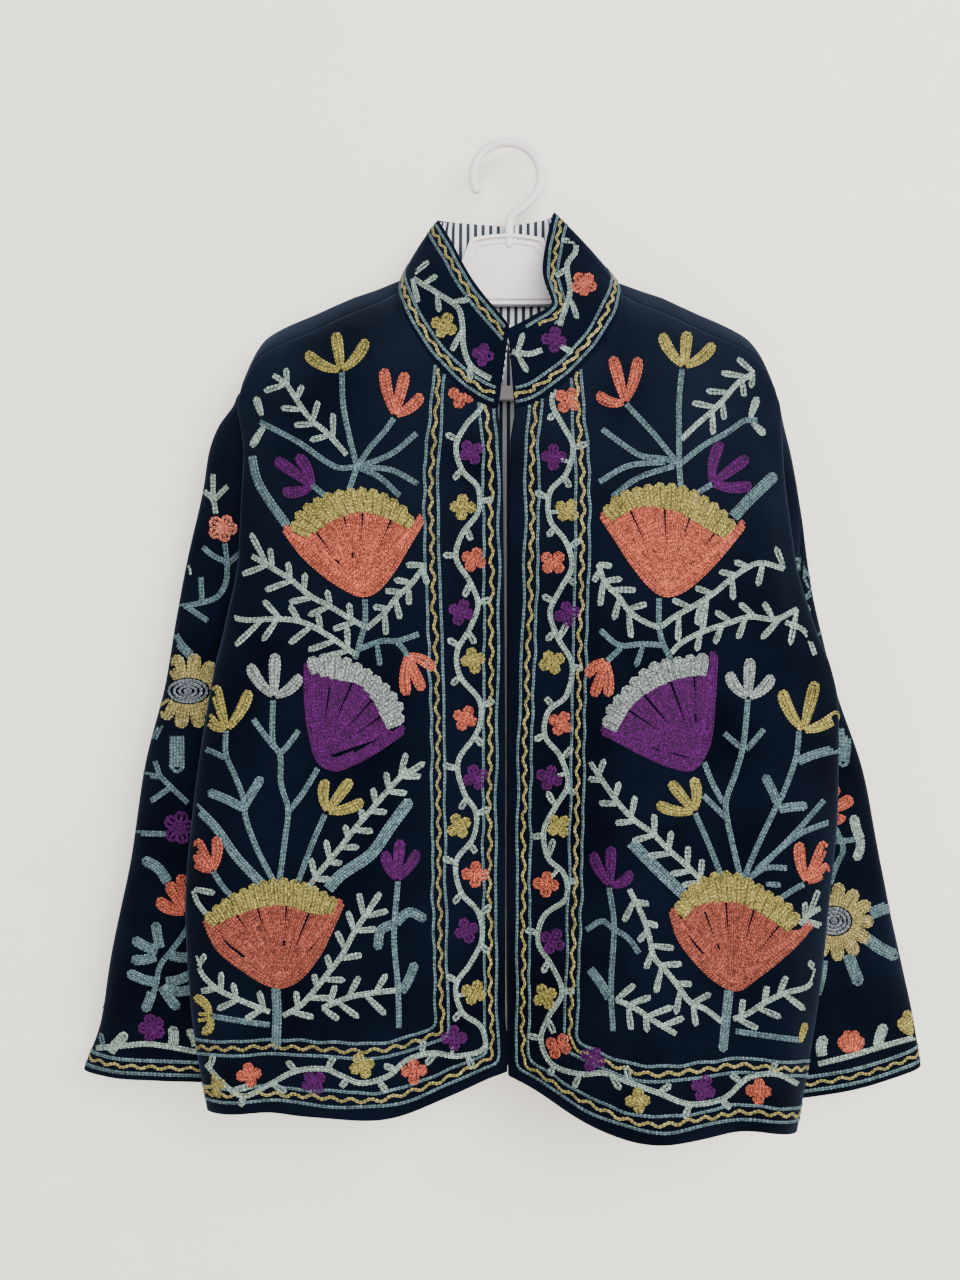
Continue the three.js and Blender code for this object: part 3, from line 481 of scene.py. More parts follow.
def collar_grid(rise):
    """The collar from the left end round the back to the right one, from rise above the neck seam up."""
    share = np.linspace(-1, 1, COLLAR_ACROSS + 1)
    up = mix(rise / COLLAR_HEIGHT, 1, np.linspace(0, 1, COLLAR_UP + 1))[:, None, None]
    grid = np.zeros((COLLAR_UP + 1, COLLAR_ACROSS + 1, 3))
    for side, top in ((-1, COLLAR_TOP_L), (1, COLLAR_TOP_R)):
        on = share < 0 if side < 0 else share >= 0
        q = 1 - np.abs(share[on])
        foot = neck_point(side, q)
        head = np.stack([column(top, key, q, "at") for key in "xyz"], -1) * (side, 1, 1)
        p = foot + (head - foot) * up
        out = unit(np.stack([p[..., 0], p[..., 1] + 18, 0 * p[..., 0]], -1))
        grid[:, on] = p + out * (COLLAR_BELLY * 4 * up * (1 - up) * smooth(q * 6)[:, None])
    return grid


# ---- creases -------------------------------------------------------------------------
# Soft troughs and ridges: points (x, z) along each, half width, how far it stands out.

CREASES = {
    "front_l": [
        ([(-30, -330), (-52, -430), (-62, -560)], 15, 1.4),
        ([(-96, -262), (-90, -330), (-98, -420)], 13, -1.6),
        ([(-150, -236), (-128, -300), (-112, -372)], 12, 1.5),
        ([(-176, -300), (-150, -352), (-138, -430)], 11, -1.5),
        ([(-205, -380), (-186, -410), (-150, -430)], 9, -2.0),
        ([(-84, -560), (-88, -660), (-96, -752)], 17, -1.8),
        ([(-160, -520), (-152, -620), (-158, -700)], 15, 1.6),
        ([(-205, -560), (-212, -650), (-206, -752)], 12, -1.5),
    ],
    "front_r": [
        ([(34, -340), (50, -440), (56, -570)], 15, -1.5),
        ([(100, -250), (94, -330), (104, -410)], 13, 1.6),
        ([(168, -232), (150, -300), (128, -380)], 12, -1.6),
        ([(224, -392), (196, -418), (160, -446)], 10, -2.2),
        ([(196, -330), (170, -372), (150, -440)], 11, 1.5),
        ([(80, -580), (92, -670), (98, -758)], 17, -2.0),
        ([(176, -540), (172, -640), (186, -740)], 15, 1.8),
        ([(214, -600), (222, -690), (212, -768)], 11, -1.5),
    ],
    "back": [
        ([(-140, -190), (-112, -270), (-92, -380)], 15, -2.0),
        ([(-186, -250), (-168, -320), (-158, -410)], 13, 1.8),
        ([(-60, -420), (-70, -560), (-66, -740)], 19, 2.0),
        ([(-20, -170), (-24, -260), (-16, -400)], 20, 1.6),
        ([(20, -480), (26, -620), (22, -750)], 18, -1.8),
        ([(96, -200), (84, -300), (90, -430)], 16, 2.0),
        ([(160, -240), (150, -330), (156, -430)], 13, -2.0),
        ([(132, -520), (140, -640), (150, -752)], 16, 1.8),
        ([(-128, -500), (-118, -620), (-120, -745)], 16, -1.6),
        ([(196, -380), (160, -420), (120, -436)], 12, -1.6),
    ],
    "sleeve_l": [
        ([(-232, -250), (-238, -330), (-250, -400)], 12, -2.4),
        ([(-212, -400), (-240, -430), (-268, -440)], 11, -2.2),
        ([(-206, -450), (-240, -480), (-276, -490)], 12, 2.2),
        ([(-250, -470), (-262, -560), (-258, -650)], 15, -2.6),
        ([(-200, -540), (-214, -640), (-220, -745)], 14, 2.4),
        ([(-290, -560), (-302, -650), (-312, -740)], 13, 2.0),
        ([(-240, -640), (-262, -700), (-276, -748)], 14, -2.2),
    ],
    "sleeve_r": [
        ([(226, -262), (232, -330), (238, -400)], 11, 2.2),
        ([(212, -404), (236, -426), (256, -424)], 10, -2.4),
        ([(200, -452), (232, -470), (264, -470)], 12, 2.2),
        ([(236, -470), (250, -560), (254, -650)], 15, -2.6),
        ([(206, -560), (214, -660), (222, -765)], 14, 2.2),
        ([(286, -540), (300, -640), (312, -738)], 13, 2.2),
        ([(258, -640), (272, -700), (282, -752)], 13, -2.2),
    ],
}


CREASE_FADE = 0.35  # share of a crease's length over which each end fades out
RIPPLES = 9
RIPPLE_TURN = 0.5
RIPPLE_LENGTH = (38, 110)
RIPPLE_HEIGHT = 0.24


def hollow(where, lines):
    """How far creases stand out at points (x, z), soft across and faded at both ends."""
    out = np.zeros(where.shape[:-1])
    for line, width, depth in lines:
        path = smooth_path(line, 8.0)
        gap = where[..., None, :] - path
        distance = np.linalg.norm(gap, axis=-1)
        nearest = distance.argmin(-1)
        place = nearest / (len(path) - 1)
        fade = smooth(place / CREASE_FADE) * smooth((1 - place) / CREASE_FADE)
        out += depth * fade * np.exp(-((distance.min(-1) / width) ** 2))
    return out


def ripple(where, seed):
    """Slow unevenness of a hanging cloth, a few tenths of a millimetre to one."""
    rng = np.random.default_rng(seed)
    out = np.zeros(where.shape[:-1])
    for _ in range(RIPPLES):
        angle = rng.uniform(-RIPPLE_TURN, RIPPLE_TURN)
        length = rng.uniform(*RIPPLE_LENGTH)
        phase = where[..., 0] * math.cos(angle) + where[..., 1] * math.sin(angle) * 0.35
        out += RIPPLE_HEIGHT * np.sin(2 * np.pi * phase / length + rng.uniform(0, 6.3))
    return out


def smooth_path(points, step, closed=False):
    """Points every step along a soft curve through the given ones."""
    p = np.asarray(points, float)
    if closed:
        p = np.concatenate([p, p[:1]])
    length = lengths_along(p)
    if len(p) == 2:
        n = max(2, int(round(length[-1] / step)) + 1)
        return p[0] + (p[1] - p[0]) * np.linspace(0, 1, n)[:, None]
    before = np.concatenate([p[-2:-1] if closed else 2 * p[:1] - p[1:2], p[:-1]])
    after = np.concatenate([p[1:], p[1:2] if closed else 2 * p[-1:] - p[-2:-1]])
    gaps = np.diff(length)
    gap_before = np.concatenate([gaps[-1:] if closed else gaps[:1], gaps])
    gap_after = np.concatenate([gaps, gaps[:1] if closed else gaps[-1:]])
    tangent = (after - before) / (gap_before + gap_after)[:, None]
    fine = np.linspace(0, length[-1], max(8, int(length[-1] / step * 3)))
    i = np.clip(np.searchsorted(length, fine, side="right") - 1, 0, len(gaps) - 1)
    h = gaps[i]
    t = ((fine - length[i]) / h)[:, None]
    h = h[:, None]
    s = 1 - t
    curve = (
        p[i] * (1 + 2 * t) * s * s
        + tangent[i] * h * t * s * s
        + p[i + 1] * t * t * (3 - 2 * t)
        - tangent[i + 1] * h * t * t * s
    )
    return even(curve, step)


def even(curve, step):
    """The same curve with points a step apart."""
    along = lengths_along(curve)
    n = max(2, int(round(along[-1] / step)) + 1)
    at = np.linspace(0, along[-1], n)
    return np.stack([np.interp(at, along, curve[:, k]) for k in range(curve.shape[1])], -1)


# ---- meshes --------------------------------------------------------------------------


def outward(points, cells):
    """Outward direction at every point, from the cells around it."""
    flat = points.reshape(-1, 3)
    across = flat[cells[:, 2]] - flat[cells[:, 0]]
    along = flat[cells[:, 3]] - flat[cells[:, 1]]
    n = np.cross(across, along)
    total = np.zeros(flat.shape)
    for k in range(4):
        np.add.at(total, cells[:, k], n)
    return unit(total).reshape(points.shape)


def grid_cells(rows, columns, turn, closed=False, keep=None):
    """Four corners of every cell of a grid, counter-clockwise from outside where turn is true."""
    across = columns if closed else columns - 1
    i, j = np.meshgrid(np.arange(across), np.arange(rows - 1))
    k = (i + 1) % columns
    cells = np.stack([j * columns + i, (j + 1) * columns + i, (j + 1) * columns + k, j * columns + k], -1)
    cells = cells[keep] if keep is not None else cells.reshape(-1, 4)
    return cells if turn else cells[:, ::-1]


def add_object(name, data):
    obj = bpy.data.objects.new(name, data)
    bpy.context.scene.collection.objects.link(obj)
    return obj


def make_mesh(name, points, faces, materials, slots=None, values=None):
    """An object from arrays. slots: each face's material; values: named numbers at the points."""
    mesh = bpy.data.meshes.new(name)
    sizes = np.full(len(faces), faces.shape[1])
    mesh.vertices.add(len(points))
    mesh.vertices.foreach_set("co", (np.asarray(points, np.float32) * MM).ravel())
    mesh.loops.add(int(sizes.sum()))
    mesh.loops.foreach_set("vertex_index", faces.astype(np.int32).ravel())
    mesh.polygons.add(len(faces))
    mesh.polygons.foreach_set("loop_start", (np.cumsum(sizes) - sizes).astype(np.int32))
    mesh.polygons.foreach_set("use_smooth", np.ones(len(faces), bool))
    for material in materials:
        mesh.materials.append(material)
    if slots is not None:
        mesh.polygons.foreach_set("material_index", slots.astype(np.int32))
    for key, numbers in (values or {}).items():
        layer = mesh.attributes.new(key, "FLOAT", "POINT")
        layer.data.foreach_set("value", np.asarray(numbers, np.float32).ravel())
    mesh.update(calc_edges=True)
    mesh.validate()
    return add_object(name, mesh)


# rows round a cloth's edge: how far through its thickness, and how far out, as shares of it
EDGE_ROUNDING = [(0.15, 0.3), (0.5, 0.46), (0.85, 0.3)]


def shell(name, points, normals, cells, thickness, materials, values=None, depth=0.0):
    """Closed cloth of one thickness, its outer face depth under the points, with round edges."""
    p = points.reshape(-1, 3) - normals.reshape(-1, 3) * depth
    n = normals.reshape(-1, 3)
    count = len(p)
    inner = p - n * thickness
    starts = cells.ravel()
    ends = np.roll(cells, -1, axis=1).ravel()
    there = set(zip(starts.tolist(), ends.tolist()))
    rim = np.array([(a, b) for a, b in there if (b, a) not in there])
    rim = rim[np.lexsort((rim[:, 1], rim[:, 0]))]
    out = np.zeros(p.shape)
    side = np.cross(unit(p[rim[:, 1]] - p[rim[:, 0]]), n[rim[:, 0]])
    np.add.at(out, rim[:, 0], side)
    np.add.at(out, rim[:, 1], side)
    out = unit(out)
    on_rim = np.unique(rim)
    place = np.full(count, -1)
    place[on_rim] = np.arange(len(on_rim))
    at, under, aside = p[on_rim], n[on_rim], out[on_rim]
    rims = [at - under * thickness * d + aside * thickness * b for d, b in EDGE_ROUNDING]
    start = [0] + [2 * count + k * len(on_rim) for k in range(len(rims))] + [count]
    faces = [cells, cells[:, ::-1] + count]
    a, b = rim[:, 0], rim[:, 1]
    for k in range(len(rims) + 1):
        up_a, up_b = (a, b) if k == 0 else (start[k] + place[a], start[k] + place[b])
        last = k == len(rims)
        low_a, low_b = (count + a, count + b) if last else (start[k + 1] + place[a], start[k + 1] + place[b])
        faces.append(np.stack([up_b, up_a, low_a, low_b], -1))
    all_points = np.concatenate([p, inner] + rims)
    used, index = np.unique(np.concatenate(faces), return_inverse=True)
    spread = {}
    for key, numbers in (values or {}).items():
        flat = numbers.ravel()
        spread[key] = np.concatenate([flat, flat] + [flat[on_rim]] * len(rims))[used]
    return make_mesh(name, all_points[used], index.reshape(-1, 4), materials, values=spread)


# ---- cloth surfaces --------------------------------------------------------------------


class Panel:
    """A piece's outer surface: a grid of points, its cells and its outward directions."""

    def __init__(self, name, points, turn, closed=False, keep=None, held=None, seed=1, grow=0.0):
        rows, columns = points.shape[:2]
        self.name = name
        self.cells = grid_cells(rows, columns, turn, closed, keep)
        n = outward(points, self.cells)
        points = points + n * grow
        if held is not None:
            where = points[..., [0, 2]]
            facing = 1.0
            if closed:
                facing = np.clip(-n[..., 1] * 1.6, -1, 1)
            push = (hollow(where, CREASES[name]) + ripple(where, seed)) * facing
            points = points + n * (push * held)[..., None]
            n = outward(points, self.cells)
        self.points = points
        self.normals = n

    def shell(self, thickness, materials):
        return shell("cloth_" + self.name, self.points, self.normals, self.cells, thickness, materials)


def held_at_edges(points, first=0, last=0, left=0, right=0):
    """0 at the held edges of a grid and 1 away from them: its first and last row and its columns at the
    left and right. Each number is a share of the grid, 0 for a free edge."""
    rows, columns = points.shape[:2]
    j = np.linspace(0, 1, rows)[:, None]
    i = np.linspace(0, 1, columns)[None, :]
    w = np.ones((rows, columns))
    for share, place in ((first, j), (last, 1 - j), (left, i), (right, 1 - i)):
        if share:
            w = w * smooth(place / share)
    return w


def arc_lengths(points, axis):
    gaps = np.linalg.norm(np.diff(points, axis=axis), axis=-1)
    pad = [(0, 0), (0, 0)]
    pad[axis] = (1, 0)
    return np.pad(np.cumsum(gaps, axis=axis), pad)


CAMERA = (-22.1, -800.0, -404.3)
MIDDLE = (480, 640)  # of both charts: how far across and down the middle of the view is
PIXEL = 0.82  # millimetres at the hook's depth, for one unit of the front chart
BACK_UNIT = 0.76


def front_chart(points):
    """Where points are seen from the front, across and down."""
    reach = -CAMERA[1] / (points[..., 1] - CAMERA[1]) / PIXEL
    across = MIDDLE[0] + (points[..., 0] - CAMERA[0]) * reach
    return np.stack([across, MIDDLE[1] - (points[..., 2] - CAMERA[2]) * reach], -1)


def back_chart(points):
    """The same for the back, seen square on from behind."""
    across = MIDDLE[0] - points[..., 0] / BACK_UNIT
    return np.stack([across, MIDDLE[1] - (points[..., 2] - CAMERA[2]) / BACK_UNIT], -1)


def edge_chart(points):
    """Millimetres in from the centre front edge, and up from the hem."""
    across = arc_lengths(points, 1)
    return np.stack([across, arc_lengths(points, 0)], -1)


PLACING_STEPS = 15
FULL_STEPS = 7  # the later ones are shortened, so that places near a crease settle too
SHORT_STEP = 0.6
ON_CHART = 0.8  # a place farther than this from the nearest one found is off the grid
BATCH = 4000


def place_on(chart, wanted):
    """Row and column on a grid's chart of each wanted place, and whether it lies on it."""
    rows, columns = chart.shape[:2]
    row_step, column_step = max(1, rows // 45), max(1, columns // 25)
    coarse_rows = np.unique(np.append(np.arange(0, rows, row_step), rows - 1))
    coarse_columns = np.unique(np.append(np.arange(0, columns, column_step), columns - 1))
    coarse = chart[np.ix_(coarse_rows, coarse_columns)].reshape(-1, 2)
    nearest = np.zeros(len(wanted), int)
    for start in range(0, len(wanted), BATCH):
        part = wanted[start : start + BATCH]
        distance = ((part[:, None, :] - coarse[None]) ** 2).sum(-1)
        nearest[start : start + BATCH] = distance.argmin(1)
    r = coarse_rows[nearest // len(coarse_columns)].astype(float)
    c = coarse_columns[nearest % len(coarse_columns)].astype(float)
    for step in range(PLACING_STEPS):
        ease = 1.0 if step < FULL_STEPS else SHORT_STEP
        value, by_row, by_column = on_grid(chart, r, c, True)
        miss = wanted - value
        det = by_row[:, 0] * by_column[:, 1] - by_row[:, 1] * by_column[:, 0]
        det = np.where(np.abs(det) < 1e-9, 1e-9, det)
        dr = (miss[:, 0] * by_column[:, 1] - miss[:, 1] * by_column[:, 0]) / det
        dc = (by_row[:, 0] * miss[:, 1] - by_row[:, 1] * miss[:, 0]) / det
        r = np.clip(r + ease * np.clip(dr, -row_step * 2, row_step * 2), 0, rows - 1)
        c = np.clip(c + ease * np.clip(dc, -column_step * 2, column_step * 2), 0, columns - 1)
    miss = np.linalg.norm(wanted - on_grid(chart, r, c), axis=1)
    return r, c, miss < ON_CHART


def on_grid(grid, r, c, slopes=False):
    """Value of a grid at a row and column between its points."""
    j = np.clip(np.floor(r).astype(int), 0, grid.shape[0] - 2)
    i = np.clip(np.floor(c).astype(int), 0, grid.shape[1] - 2)
    v = (r - j)[:, None]
    u = (c - i)[:, None]
    a, b, p, q = grid[j, i], grid[j, i + 1], grid[j + 1, i], grid[j + 1, i + 1]
    value = a * (1 - u) * (1 - v) + b * u * (1 - v) + p * (1 - u) * v + q * u * v
    if not slopes:
        return value
    return value, (p - a) * (1 - u) + (q - b) * u, (b - a) * (1 - v) + (q - p) * v


# ---- materials -----------------------------------------------------------------------


def linear(r, g, b):
    """Colour as light from 0 to 255 screen values."""
    return tuple((c / 255 / 12.92 if c <= 10 else ((c / 255 + 0.055) / 1.055) ** 2.4) for c in (r, g, b))


VELVET_LOW = (0.0004, 0.001, 0.0036)
VELVET_HIGH = (0.0012, 0.0026, 0.0076)
# painted sheen: the velvet's colour over the chest and shoulders, where light from above falls on them
VELVET_PAINTED_SHEEN = (0.0036, 0.006, 0.0128)
SHEEN = {"Sheen Weight": 0.07, "Sheen Roughness": 0.35, "Sheen Tint": (0.36, 0.56, 1.0, 1)}
PAINTED_SHEEN_HEIGHT = (-0.42, -0.16)  # metres: the velvet grows lighter between these heights
BRUSHED_SCALE = 14
PATCH_SCALE = 9
PILE_SCALE = 1500
PILE_DEPTH = 0.0004
TWIST_SCALE = 760
TWIST_DEPTH = 0.0005
# painted specks of shade and highlight along the thread, from its twist
TWIST_DARK = 0.36
TWIST_LIGHT = 1.5
LINING_PITCH = 6.3
STRIPE_EDGE = (0.44, 0.48)  # the black part of a stripe's pitch ends between these shares
LINING_BLACK = linear(20, 24, 34)
LINING_WHITE = linear(196, 202, 214)
PLASTIC = linear(214, 206, 208)


def new_material(name):
    material = bpy.data.materials.new(name)
    material.use_nodes = True
    tree = material.node_tree
    return material, tree, tree.nodes["Principled BSDF"]


def node(tree, kind, **settings):
    made = tree.nodes.new(kind)
    for key, value in settings.items():
        setattr(made, key, value)
    return made


def set_inputs(shader, values):
    for name, value in values.items():
        shader.inputs[name].default_value = value


def join_sockets(tree, source, target):
    """Feeds a socket from another one, or gives it a plain value."""
    if isinstance(source, bpy.types.NodeSocket):
        tree.links.new(source, target)
    elif isinstance(source, tuple) and len(source) == 3:
        target.default_value = (*source, 1)
    else:
        target.default_value = source


def mixed_colour(tree, factor, a, b, blend="MIX"):
    made = node(tree, "ShaderNodeMix", data_type="RGBA", blend_type=blend)
    join_sockets(tree, factor, made.inputs[0])
    join_sockets(tree, a, made.inputs[6])
    join_sockets(tree, b, made.inputs[7])
    return made.outputs[2]


def noise(tree, scale, detail=2.0):
    place = node(tree, "ShaderNodeTexCoord")
    made = node(tree, "ShaderNodeTexNoise")
    set_inputs(made, {"Scale": scale, "Detail": detail})
    tree.links.new(place.outputs["Object"], made.inputs["Vector"])
    return made.outputs["Fac"]


def between(tree, value, low, high):
    """0 under low, 1 over high, straight in between."""
    made = node(tree, "ShaderNodeMapRange")
    set_inputs(made, {"From Min": low, "From Max": high})
    tree.links.new(value, made.inputs["Value"])
    return made.outputs["Result"]


def bump(tree, height, strength, distance, shader):
    made = node(tree, "ShaderNodeBump")
    set_inputs(made, {"Strength": strength, "Distance": distance})
    tree.links.new(height, made.inputs["Height"])
    tree.links.new(made.outputs["Normal"], shader.inputs["Normal"])


def velvet_material(name, raised):
    """Near-black navy pile: a soft bluish sheen at grazing angles, brushed here and there, and a painted
    sheen:
    lighter in patches over the chest and shoulders, where light from above falls: raised is the painted
    sheen's colour."""
    material, tree, shader = new_material(name)
    brushed = between(tree, noise(tree, BRUSHED_SCALE, 4), 0.35, 0.65)
    colour = mixed_colour(tree, brushed, VELVET_LOW, VELVET_HIGH)
    split = node(tree, "ShaderNodeSeparateXYZ")
    tree.links.new(node(tree, "ShaderNodeNewGeometry").outputs["Position"], split.inputs[0])
    # painted sheen: the velvet is painted lighter higher up, where light from above falls, in patches
    height = between(tree, split.outputs["Z"], *PAINTED_SHEEN_HEIGHT)
    painted_sheen = node(tree, "ShaderNodeMath", operation="MULTIPLY")
    tree.links.new(height, painted_sheen.inputs[0])
    tree.links.new(between(tree, noise(tree, PATCH_SCALE, 3), 0.3, 0.62), painted_sheen.inputs[1])
    colour = mixed_colour(tree, painted_sheen.outputs["Value"], colour, raised)
    tree.links.new(colour, shader.inputs["Base Color"])
    bump(tree, noise(tree, PILE_SCALE), 0.5, PILE_DEPTH, shader)
    set_inputs(shader, {"Roughness": 0.95, "Specular IOR Level": 0.03, **SHEEN})
    return material


def thread_material(name, colour):
    """Matt cotton thread. The stitch value paints light and shade into it: a painted highlight on the loops'
    raised sides, painted shade in their middles, partly the velvet seen through them, and in the gaps
    between rows; specks of painted highlight and shade come from its twist."""
    material, tree, shader = new_material(name)
    stitch = node(tree, "ShaderNodeAttribute", attribute_name="stitch")
    shade = mixed_colour(tree, 1.0, colour, stitch.outputs["Color"], "MULTIPLY")
    twist = between(tree, noise(tree, TWIST_SCALE, 2), 0.36, 0.64)
    # painted specks of shade and highlight
    specks = mixed_colour(tree, twist, (TWIST_DARK,) * 3, (TWIST_LIGHT,) * 3)
    tree.links.new(mixed_colour(tree, 1.0, shade, specks, "MULTIPLY"), shader.inputs["Base Color"])
    bump(tree, twist, 0.6, TWIST_DEPTH, shader)
    set_inputs(shader, {"Roughness": 0.75, "Specular IOR Level": 0.15})
    return material


def lining_material():
    """White cotton with black stripes, 6.3 mm apart, running up and down."""
    material, tree, shader = new_material("striped_cotton")
    across = node(tree, "ShaderNodeAttribute", attribute_name="across")
    turn = node(tree, "ShaderNodeMath", operation="DIVIDE")
    turn.inputs[1].default_value = LINING_PITCH
    part = node(tree, "ShaderNodeMath", operation="FRACT")
    tree.links.new(across.outputs["Fac"], turn.inputs[0])
    tree.links.new(turn.outputs["Value"], part.inputs[0])
    white = between(tree, part.outputs["Value"], *STRIPE_EDGE)
    tree.links.new(mixed_colour(tree, white, LINING_BLACK, LINING_WHITE), shader.inputs["Base Color"])
    set_inputs(shader, {"Roughness": 0.85})
    return material


def plain_material(name, colour, roughness, specular=0.5):
    """One colour with a slight, slow unevenness."""
    material, tree, shader = new_material(name)
    dull = tuple(c * 0.95 for c in colour)
    tree.links.new(mixed_colour(tree, noise(tree, 18), dull, colour), shader.inputs["Base Color"])
    set_inputs(shader, {"Roughness": roughness, "Specular IOR Level": specular})
    return material


# ---- hanger --------------------------------------------------------------------------

HOOK_RADIUS = 27.7
HOOK_HALF = 3.75
HOOK_DEPTH = 6
HOOK_TIP = 203
HOOK_ROOT = -38
HOOK_NECK = [(12, -50.5), (4.5, -56), (2, -62), (1.8, -72), (1.8, -80)]
HANGER_DEPTH = 7
ARM_DROP = 7
ARM_HEIGHT = 12
ARM_ROOT = 90
ARM_RISE = 0.12  # slope of the arms' top, inwards from ARM_ROOT
ARM_END = 180
BAR_TOP = -196.5
BAR_FOOT = -208
PLATE_TOP = -72
PLATE_FOOT = -130
PLATE_TOP_HALF = 30
PLATE_FOOT_HALF = 54
PLATE_RECESS = 2.4
PLATE_RIMS = [(0, 2.7, HANGER_DEPTH), (5.6, 1.5, 4.4)]  # inset, width, depth
END_X = 199
END_TOP = -170
END_ROUND = 9


def quadratic(a, b, c, steps=10):
    t = np.linspace(0, 1, steps + 1)[1:, None]
    a, b, c = (np.asarray(p, float) for p in (a, b, c))
    return list(a * (1 - t) ** 2 + 2 * b * t * (1 - t) + c * t**2)


def plate_outline(inset):
    top = PLATE_TOP - inset
    foot = PLATE_FOOT + inset
    half = PLATE_TOP_HALF - inset
    waist = PLATE_TOP_HALF + 6 - inset
    end = PLATE_FOOT_HALF - inset
    middle = mix(foot, top, 0.6)
    line = [np.array((-end, foot))]
    line += quadratic(line[-1], (-waist, middle), (-half, top - 4))
    line += quadratic(line[-1], (0, top + 3), (half, top - 4), 16)
    line += quadratic(line[-1], (waist, middle), (end, foot))
    return np.array(line)


def arm_top(x):
    return float(ridge_z(max(x, ARM_ROOT))) + ARM_RISE * max(0, ARM_ROOT - x) - ARM_DROP


def frame_outline():
    steps = list(np.linspace(50, ARM_END, 16))
    right = [np.array((x, arm_top(x))) for x in [34, *steps]]
    right += quadratic(right[-1], (END_X - 4, END_TOP + 4), (END_X, BAR_TOP + 8))
    right += quadratic(right[-1], (END_X, BAR_FOOT), (END_X - END_ROUND, BAR_FOOT))
    left = [p * (-1, 1) for p in reversed(right)]
    return np.array(right + left)


def window_outline():
    xs = [ARM_END - 4, *np.linspace(168, 60, 14)]
    right = [np.array((ARM_END + 4, BAR_TOP))] + [np.array((x, arm_top(x) - ARM_HEIGHT)) for x in xs]
    left = [p * (-1, 1) for p in reversed(right)]
    return np.array(right + left)[::-1]


def moulded(name, outlines, depth, edge, material):
    """Flat shape with rounded edges, standing in the XZ plane; later outlines are holes in the first."""
    data = bpy.data.curves.new(name, "CURVE")
    data.dimensions = "2D"
    data.fill_mode = "BOTH"
    data.extrude = (depth / 2 - edge) * MM
    data.bevel_depth = edge * MM
    data.bevel_resolution = 3
    data.offset = -edge * MM
    for outline in outlines:
        line = data.splines.new("POLY")
        line.points.add(len(outline) - 1)
        flat, weight = np.zeros(len(outline)), np.ones(len(outline))
        line.points.foreach_set("co", np.column_stack([outline * MM, flat, weight]).ravel())
        line.use_cyclic_u = True
    curve = add_object(name, data)
    bpy.context.view_layer.update()
    mesh = bpy.data.meshes.new_from_object(curve)
    bpy.data.objects.remove(curve)
    points = np.zeros(len(mesh.vertices) * 3)
    mesh.vertices.foreach_get("co", points)
    points = points.reshape(-1, 3)
    turned = np.stack([points[:, 0], -points[:, 2], points[:, 1]], -1)
    mesh.vertices.foreach_set("co", turned.ravel())
    mesh.update()
    mesh.name = name
    mesh.materials.clear()
    mesh.materials.append(material)
    return add_object(name, mesh)


ROD_SIDES = 20
ROUND_TIP = [(0.35, 0.93), (0.7, 0.7), (0.95, 0.3)]  # of a rod: how far past its end, and the width there


def swept(name, path, across, deep, material):
    """Oval rod along a path in the XZ plane, closed at both ends with round tips."""
    path = even(smooth_path(path, 1.0), 2.2)
    tangent = unit(np.gradient(path, axis=0))
    side = np.stack([tangent[:, 1], -tangent[:, 0]], -1)
    turn = 2 * np.pi * np.arange(ROD_SIDES) / ROD_SIDES
    rings = [(place, way, 1.0) for place, way in zip(path, side)]
    first = [(path[0] - tangent[0] * d * across, side[0], s) for d, s in reversed(ROUND_TIP)]
    last = [(path[-1] + tangent[-1] * d * across, side[-1], s) for d, s in ROUND_TIP]
    rings = first + rings + last
    points = []
    for middle, way, size in rings:
        x = middle[0] + way[0] * across * size * np.cos(turn)
        z = middle[1] + way[1] * across * size * np.cos(turn)
        points.append(np.stack([x, deep * size * np.sin(turn), z], -1))
    grid = np.stack(points)
    cells = grid_cells(len(grid), ROD_SIDES, True, closed=True)
    obj = make_mesh(name, grid.reshape(-1, 3), cells, [material])
    bm = bmesh.new()
    bm.from_mesh(obj.data)
    bmesh.ops.holes_fill(bm, edges=[e for e in bm.edges if e.is_boundary])
    bmesh.ops.recalc_face_normals(bm, faces=bm.faces)
    bm.to_mesh(obj.data)
    bm.free()
    return obj


def build_hanger(material):
    centre = HOOK_HALF - HOOK_RADIUS
    angles = np.radians(np.linspace(HOOK_TIP, HOOK_ROOT, 40))
    ring = [(HOOK_RADIUS * math.cos(a), centre + HOOK_RADIUS * math.sin(a)) for a in angles]
    hook = swept("hanger_hook", ring + HOOK_NECK, HOOK_HALF, HOOK_DEPTH / 2, material)
    arms = [frame_outline(), window_outline()]
    frame_part = moulded("hanger_frame", arms, HANGER_DEPTH, 1.2, material)
    floor = moulded("hanger_plate", [plate_outline(1.0)], HANGER_DEPTH - 2 * PLATE_RECESS, 0.3, material)
    rims = []
    for n, (outer, width, depth) in enumerate(PLATE_RIMS):
        lines = [plate_outline(outer), plate_outline(outer + width)[::-1]]
        rims.append(moulded(f"hanger_rim_{n}", lines, depth, 0.6, material))
    return join([frame_part, hook, floor, *rims], "hanger_moulding")


def join(objects, name):
    bpy.context.view_layer.update()
    with bpy.context.temp_override(active_object=objects[0], selected_editable_objects=objects):
        bpy.ops.object.join()
    objects[0].name = name
    objects[0].data.name = name
    return objects[0]


# ---- chain stitch --------------------------------------------------------------------
# A row is a line of links. Each link is a loop of thread: two raised sides, painted lighter as a highlight,
# round a sunken middle painted dark, partly as shade and partly the velvet seen through it, drawn together
# where the next link starts. Motifs are drawn as rows on a chart of the piece they are on.

LINK = 2.8
BACK_LINK = 5.0  # longer stitches on the back
UNEVEN_LINK = (0.86, 1.14)
JUMP = 6.1  # a row breaks where its next point is farther off than this
SHORTEST_RUN = 6  # a stretch of row with no more points than this is left out
ROW = 2.35  # width of a row, millimetres
PAIR = 1.4  # half the distance between the two rows of a pair
RISE = 0.85  # height of a row's raised sides
